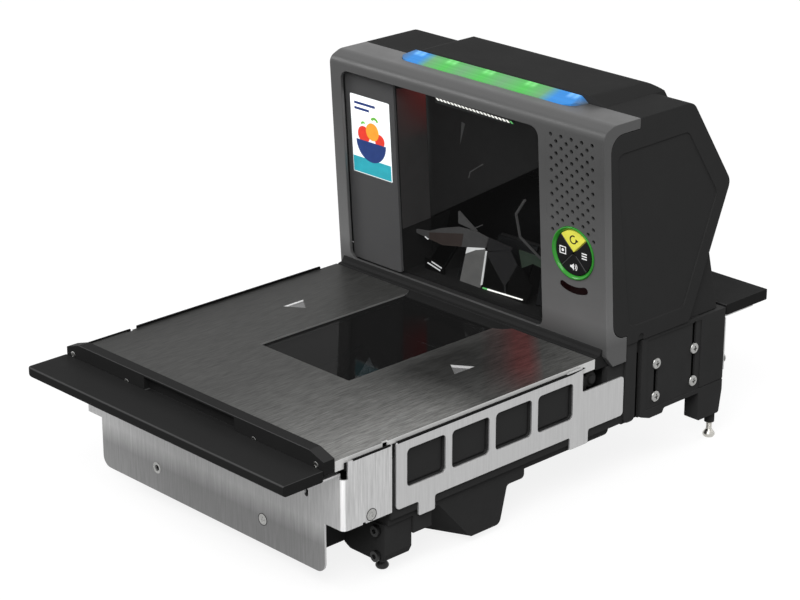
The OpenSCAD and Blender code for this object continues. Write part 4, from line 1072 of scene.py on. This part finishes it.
def display():
    """Bowl of fruit on a table, and two rows of a list."""
    low, high = in_mm(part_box("display_screen"))
    x0, x1 = low.x + 0.6, high.x - 0.6
    h0, h1 = 80.4, 144.6
    mid, bowl_h, bowl_r = (x0 + x1) / 2, h0 + 28, 17
    front, step, thickness = PANEL_FRONT - 0.06, 0.05, 0.04

    def layer(name, outlines, look, level):
        near = front - step * level
        prism_piece(name, outlines, near, near + thickness, FACE, look)

    layer("display_sky", [rectangle(x0, x1, h0 + 46, h1)], SCREEN_WHITE, 0)
    layer("display_table", [rectangle(x0, x1, h0, h0 + 13)], SCREEN["teal"], 0)
    bowl = [(mid - bowl_r, bowl_h), (mid + bowl_r, bowl_h)] + arc((mid, bowl_h), bowl_r, 0, -180, 20)[1:-1]
    layer("display_bowl", [bowl], SCREEN["navy"], 3)
    apples = [disc((mid - 8, h0 + 33), 7), disc((mid + 10, h0 + 31), 5.6)]
    layer("display_red_fruit", apples, SCREEN["red"], 1)
    layer("display_orange_fruit", [disc((mid + 2, h0 + 37), 7.4)], SCREEN["orange"], 2)
    leaves = [band((mid + 5, h0 + 45), 2.6, 5, 20, 150, 8), band((mid - 8, h0 + 41), 1.2, 3, 40, 170, 8)]
    layer("display_leaves", leaves, SCREEN["green"], 3)
    rows = [rectangle(x0 + 4, x0 + 4 + w, h, h + 2.2) for h, w in ((h1 - 7, 24), (h1 - 11.5, 17))]
    layer("display_rows", rows, SCREEN["navy"], 1)


def stroke(start, end, half):
    """Outline of a thin bar between two points."""
    along = (Vector(end) - Vector(start)).normalized()
    across = Vector((-along.y, along.x)) * half
    corners = (Vector(start) - across, Vector(end) - across, Vector(end) + across, Vector(start) + across)
    return [tuple(corner) for corner in corners]


def tower_inside():
    """Wall with a painted red glow, baffle with painted light, mirror facets with painted reflections,
    glints and shade, and a lamp strip of the tower's optics, on the bench's side walls.
    """
    cheek_x, right_x, bench_h = -79.9, 83.4, 4.5
    wall = [(9.8, 41), (40.6, 41), (40.6, 151), (9.8, 158)]
    prism_piece("cheek_painted_glow", [wall], cheek_x, cheek_x + 0.3, CHEEK, PAINTED_RED_GLOW_WALL)

    baffle_d = 44
    baffle = [(-100, 30.3), (right_x, 137.7), (right_x, 152), (-100, 152)]
    prism_piece("tower_baffle", [baffle], baffle_d, baffle_d + 2, FACE, BAFFLE_PAINTED_GLOW,
                edge=0.5)

    facet_back = 26

    # Flat piece whose glow is a painted reflection, glint or shade of the optics
    def painted_facet(name, look, depth, *outlines):
        prism_piece(name, outlines, depth, facet_back, FACE, look)

    painted_facet("mirror_beam", PAINTED_FACETS["grey"], 24.6,
          [(cheek_x, 36), (-65.8, 38), (-53.1, 43.5), (-32.6, 50.1), (-13.9, 51.6), (0.2, 49.4),
           (-2.9, 40.2), (-23.4, 35.6), (-50.4, 30.1), (-65, 31.4), (cheek_x, 33)])
    painted_facet("beam_shade", PAINTED_FACET_BROWN, 24.4,
          [(-65.3, 37.3), (-26.2, 46.3), (-29, 34.6), (-50.4, 30.3), (-65, 31.6)])
    painted_facet("right_facet", PAINTED_FACETS["dark"], 24.6, [(1.3, 49.7), (25.9, 47.8), (24.7, 45.5), (-1.4, 38.1)])
    painted_facet("green_facet", PAINTED_FACETS["green"], 24.8,
          [(33.3, 48.2), (right_x, 47.2), (right_x, 37), (47.8, 40.5), (36, 33.9)])
    painted_facet("dark_facets", PAINTED_FACETS["dark"], 25,
          [(-1.4, 37.2), (23.6, 44.7), (30.7, 34.2), (22.8, 21.9), (17.2, 14.5), (17.2, bench_h),
           (-8.2, bench_h)])
    # Painted shade between the mirrors
    painted_facet("shade_facets", PAINTED_FACETS["black"], 24.8,
          [(-0.5, 33.3), (16, 13.3), (16, bench_h), (-8.2, bench_h)],
          [(30.7, 34.2), (36, 33.9), (46, 22), (40, bench_h), (17.2, bench_h), (22.8, 21.9)],
          [(-72, bench_h), (-50, bench_h), (-50, 12), (-72, 14)])
    # Painted reflection: the brightest mirror
    painted_facet("bright_mirror", PAINTED_FACETS["bright"], 24.7,
          [(-23.4, 35.1), (-3.5, 38.8), (-10.4, bench_h), (-32.5, bench_h)])
    # Painted glints along the mirror edges
    painted_facet("mirror_edges", PAINTED_FACETS["pale"], 24.4,
          [(-22.8, 35.6), (-4.6, 39.7), (-4.6, 38.7), (-13.5, 35.8), (-24.8, 29.7)],
          [(-2.5, 37.7), (-1.9, 37.9), (-8.6, 7.3), (-9.2, 7)],
          stroke((-70.2, 32.4), (-67, 30.9), 0.5),
          stroke((-68.5, 10.2), (-54.4, 7.1), 0.45),
          stroke((-63.8, 12.3), (-52.6, 9.7), 0.45))
    painted_facet("mirror_clips", PAINTED_FACETS["grey"], 24.2,
          [(-30.8, 64), (-11.6, 52.1), (-31.3, 53.8)],
          stroke((-26.2, 46.7), (-5.9, 58.6), 0.35),
          stroke((41.1, 91.2), (31.2, 77.3), 0.7),
          stroke((31.2, 77.3), (34.8, 59.3), 0.5),
          stroke((34.8, 59.3), (56, 47), 0.5))
    painted_facet("bench_strip", LAMP_WHITE, 24, [(-1.5, 5.3), (36.2, 7.1), (36.2, 7.8), (-1.5, 6.2)])
    painted_facet("bench_strip_end", LAMP_GREEN, 24, [(-6.8, 5.1), (-1.5, 5.3), (-1.5, 6.2), (-6.8, 6.0)])

    # Painted reflections on the baffle
    marks = [[(-43.6, 129.5), (-40, 128.7), (-46.1, 110.7)], stroke((-38, 84.3), (-36.1, 89.8), 0.4),
             stroke((-36.1, 89.8), (-21.4, 99.9), 0.4)]
    prism_piece("baffle_marks", marks, baffle_d - 0.2, baffle_d, FACE, PAINTED_FACETS["grey"])
    edge = stroke((-78, 42.4), (right_x, 136.9), 0.7)
    prism_piece("baffle_edge", [edge], baffle_d - 0.4, baffle_d, FACE, DEEP_BLACK)


# Back of the tower


def back_details():
    """Louvres of the shell's rear slope, and the tongues of the sockets."""
    slope = math.atan2(39.8, 103.7)
    foot_y, foot_z = TOWER_Y + 93.5, DECK + 3
    count, first, pitch, half = 6, 70, 6, 27

    def on_slope(rise):
        """Frame on the lower rear slope of the shell: x across, z up the slope, -y out of it."""
        y = foot_y + rise * math.sin(slope)
        z = foot_z + rise * math.cos(slope)
        turn = Matrix.Rotation(math.pi, 4, "Z") @ Matrix.Rotation(slope, 4, "X")
        return Matrix.Translation((0, y * MM, z * MM)) @ turn @ Matrix.Scale(MM, 4)

    def build_louvres(work):
        for i in range(count):
            for x in (-96, -32, 32, 96):
                outline = rounded_rectangle(x - half, x + half, -1.3, 1.3, 1.2)
                add_prism(work, outline, -1.2, 0.6, on_slope(first + pitch * i))

    bevel(add_piece("rear_louvres", mesh_of(build_louvres), TOWER_BLACK), 0.4)

    def build_tongues(work):
        low, high = in_mm(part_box("io_sockets"))
        for x in (low.x + 8.5, (low.x + high.x) / 2, high.x - 8.5):
            outline = rounded_rectangle(x - 4.6, x + 4.6, low.z + 6.4, low.z + 8, 0.4)
            add_prism(work, outline, high.y - 13.4, high.y - 4, FRONT)

    bevel(add_piece("socket_tongues", mesh_of(build_tongues), BLACK_PLASTIC), 0.2)


# Studio


def add_floor():
    mesh = mesh_of(lambda work: bmesh.ops.create_grid(work, x_segments=1, y_segments=1, size=6))
    floor = add_object("floor", mesh)
    look = shader("studio_floor", FLOOR_GREY, rough=0.9, spec=0.0)
    shader_input(look, "Emission Color").default_value = WHITE
    feed(look, "Emission Strength", seen_rays(look, FLOOR_WHITE, 0.0))
    mesh.materials.append(look)


def seen_rays(owner, seen, other):
    """Strength for camera, glossy and transmission rays, and for all other rays."""
    rays = add_node(owner, "ShaderNodeLightPath").outputs
    most = rays["Is Camera Ray"]
    for name in ("Is Glossy Ray", "Is Transmission Ray"):
        most = math_of(owner, "MAXIMUM", most, rays[name])
    return range_of(owner, most, other, seen, 0.0, 1.0)


def add_world():
    world = bpy.data.worlds.new("studio")
    world.use_nodes = True
    background = world.node_tree.nodes["Background"]
    background.inputs["Color"].default_value = WHITE
    join(world, seen_rays(world, 1.0, WORLD_LIGHT), background.inputs["Strength"])
    bpy.context.scene.world = world


def add_area_light(name, place, size, watts):
    light = bpy.data.lights.new(name, "AREA")
    light.shape = "DISK"
    light.size = size
    light.energy = watts
    lamp = add_object(name, light)
    lamp.location = place
    lamp.rotation_mode = "QUATERNION"
    lamp.rotation_quaternion = (Vector(LAMP_AIM) - Vector(place)).to_track_quat("-Z", "Y")
    lamp.visible_camera = False


def add_camera():
    data = bpy.data.cameras.new("camera")
    data.lens = CAMERA_LENS
    data.sensor_width = SENSOR_WIDTH
    camera = add_object("camera", data)
    flat, rise = math.cos(CAMERA_ELEVATION), math.sin(CAMERA_ELEVATION)
    back = Vector((math.sin(CAMERA_AZIMUTH) * flat, -math.cos(CAMERA_AZIMUTH) * flat, rise))
    camera.location = CAMERA_PLACE
    camera.rotation_mode = "QUATERNION"
    camera.rotation_quaternion = (-back).to_track_quat("-Z", "Y")
    bpy.context.scene.camera = camera


add_camera()
add_world()
add_floor()
add_area_light("key", (1.1, -1.5, 1.9), 1.6, 34)
add_area_light("fill", (-1.6, -1.0, 1.3), 1.0, 14)
add_area_light("rear", (0.6, 1.7, 1.5), 1.4, 12)
dress_all()
glasses()
all_screws()
feet()
window_pads()
notch_bosses()
gap_shadow_strips()
apron_eyelet()
painted_slot_shadows()
sill_curb()
front_filler_plate()
arrows()
lamp_segments()
key_ring()
panel_rim()
key_icons()
display()
tower_inside()
back_details()

bpy.context.scene.view_settings.view_transform = "Standard"
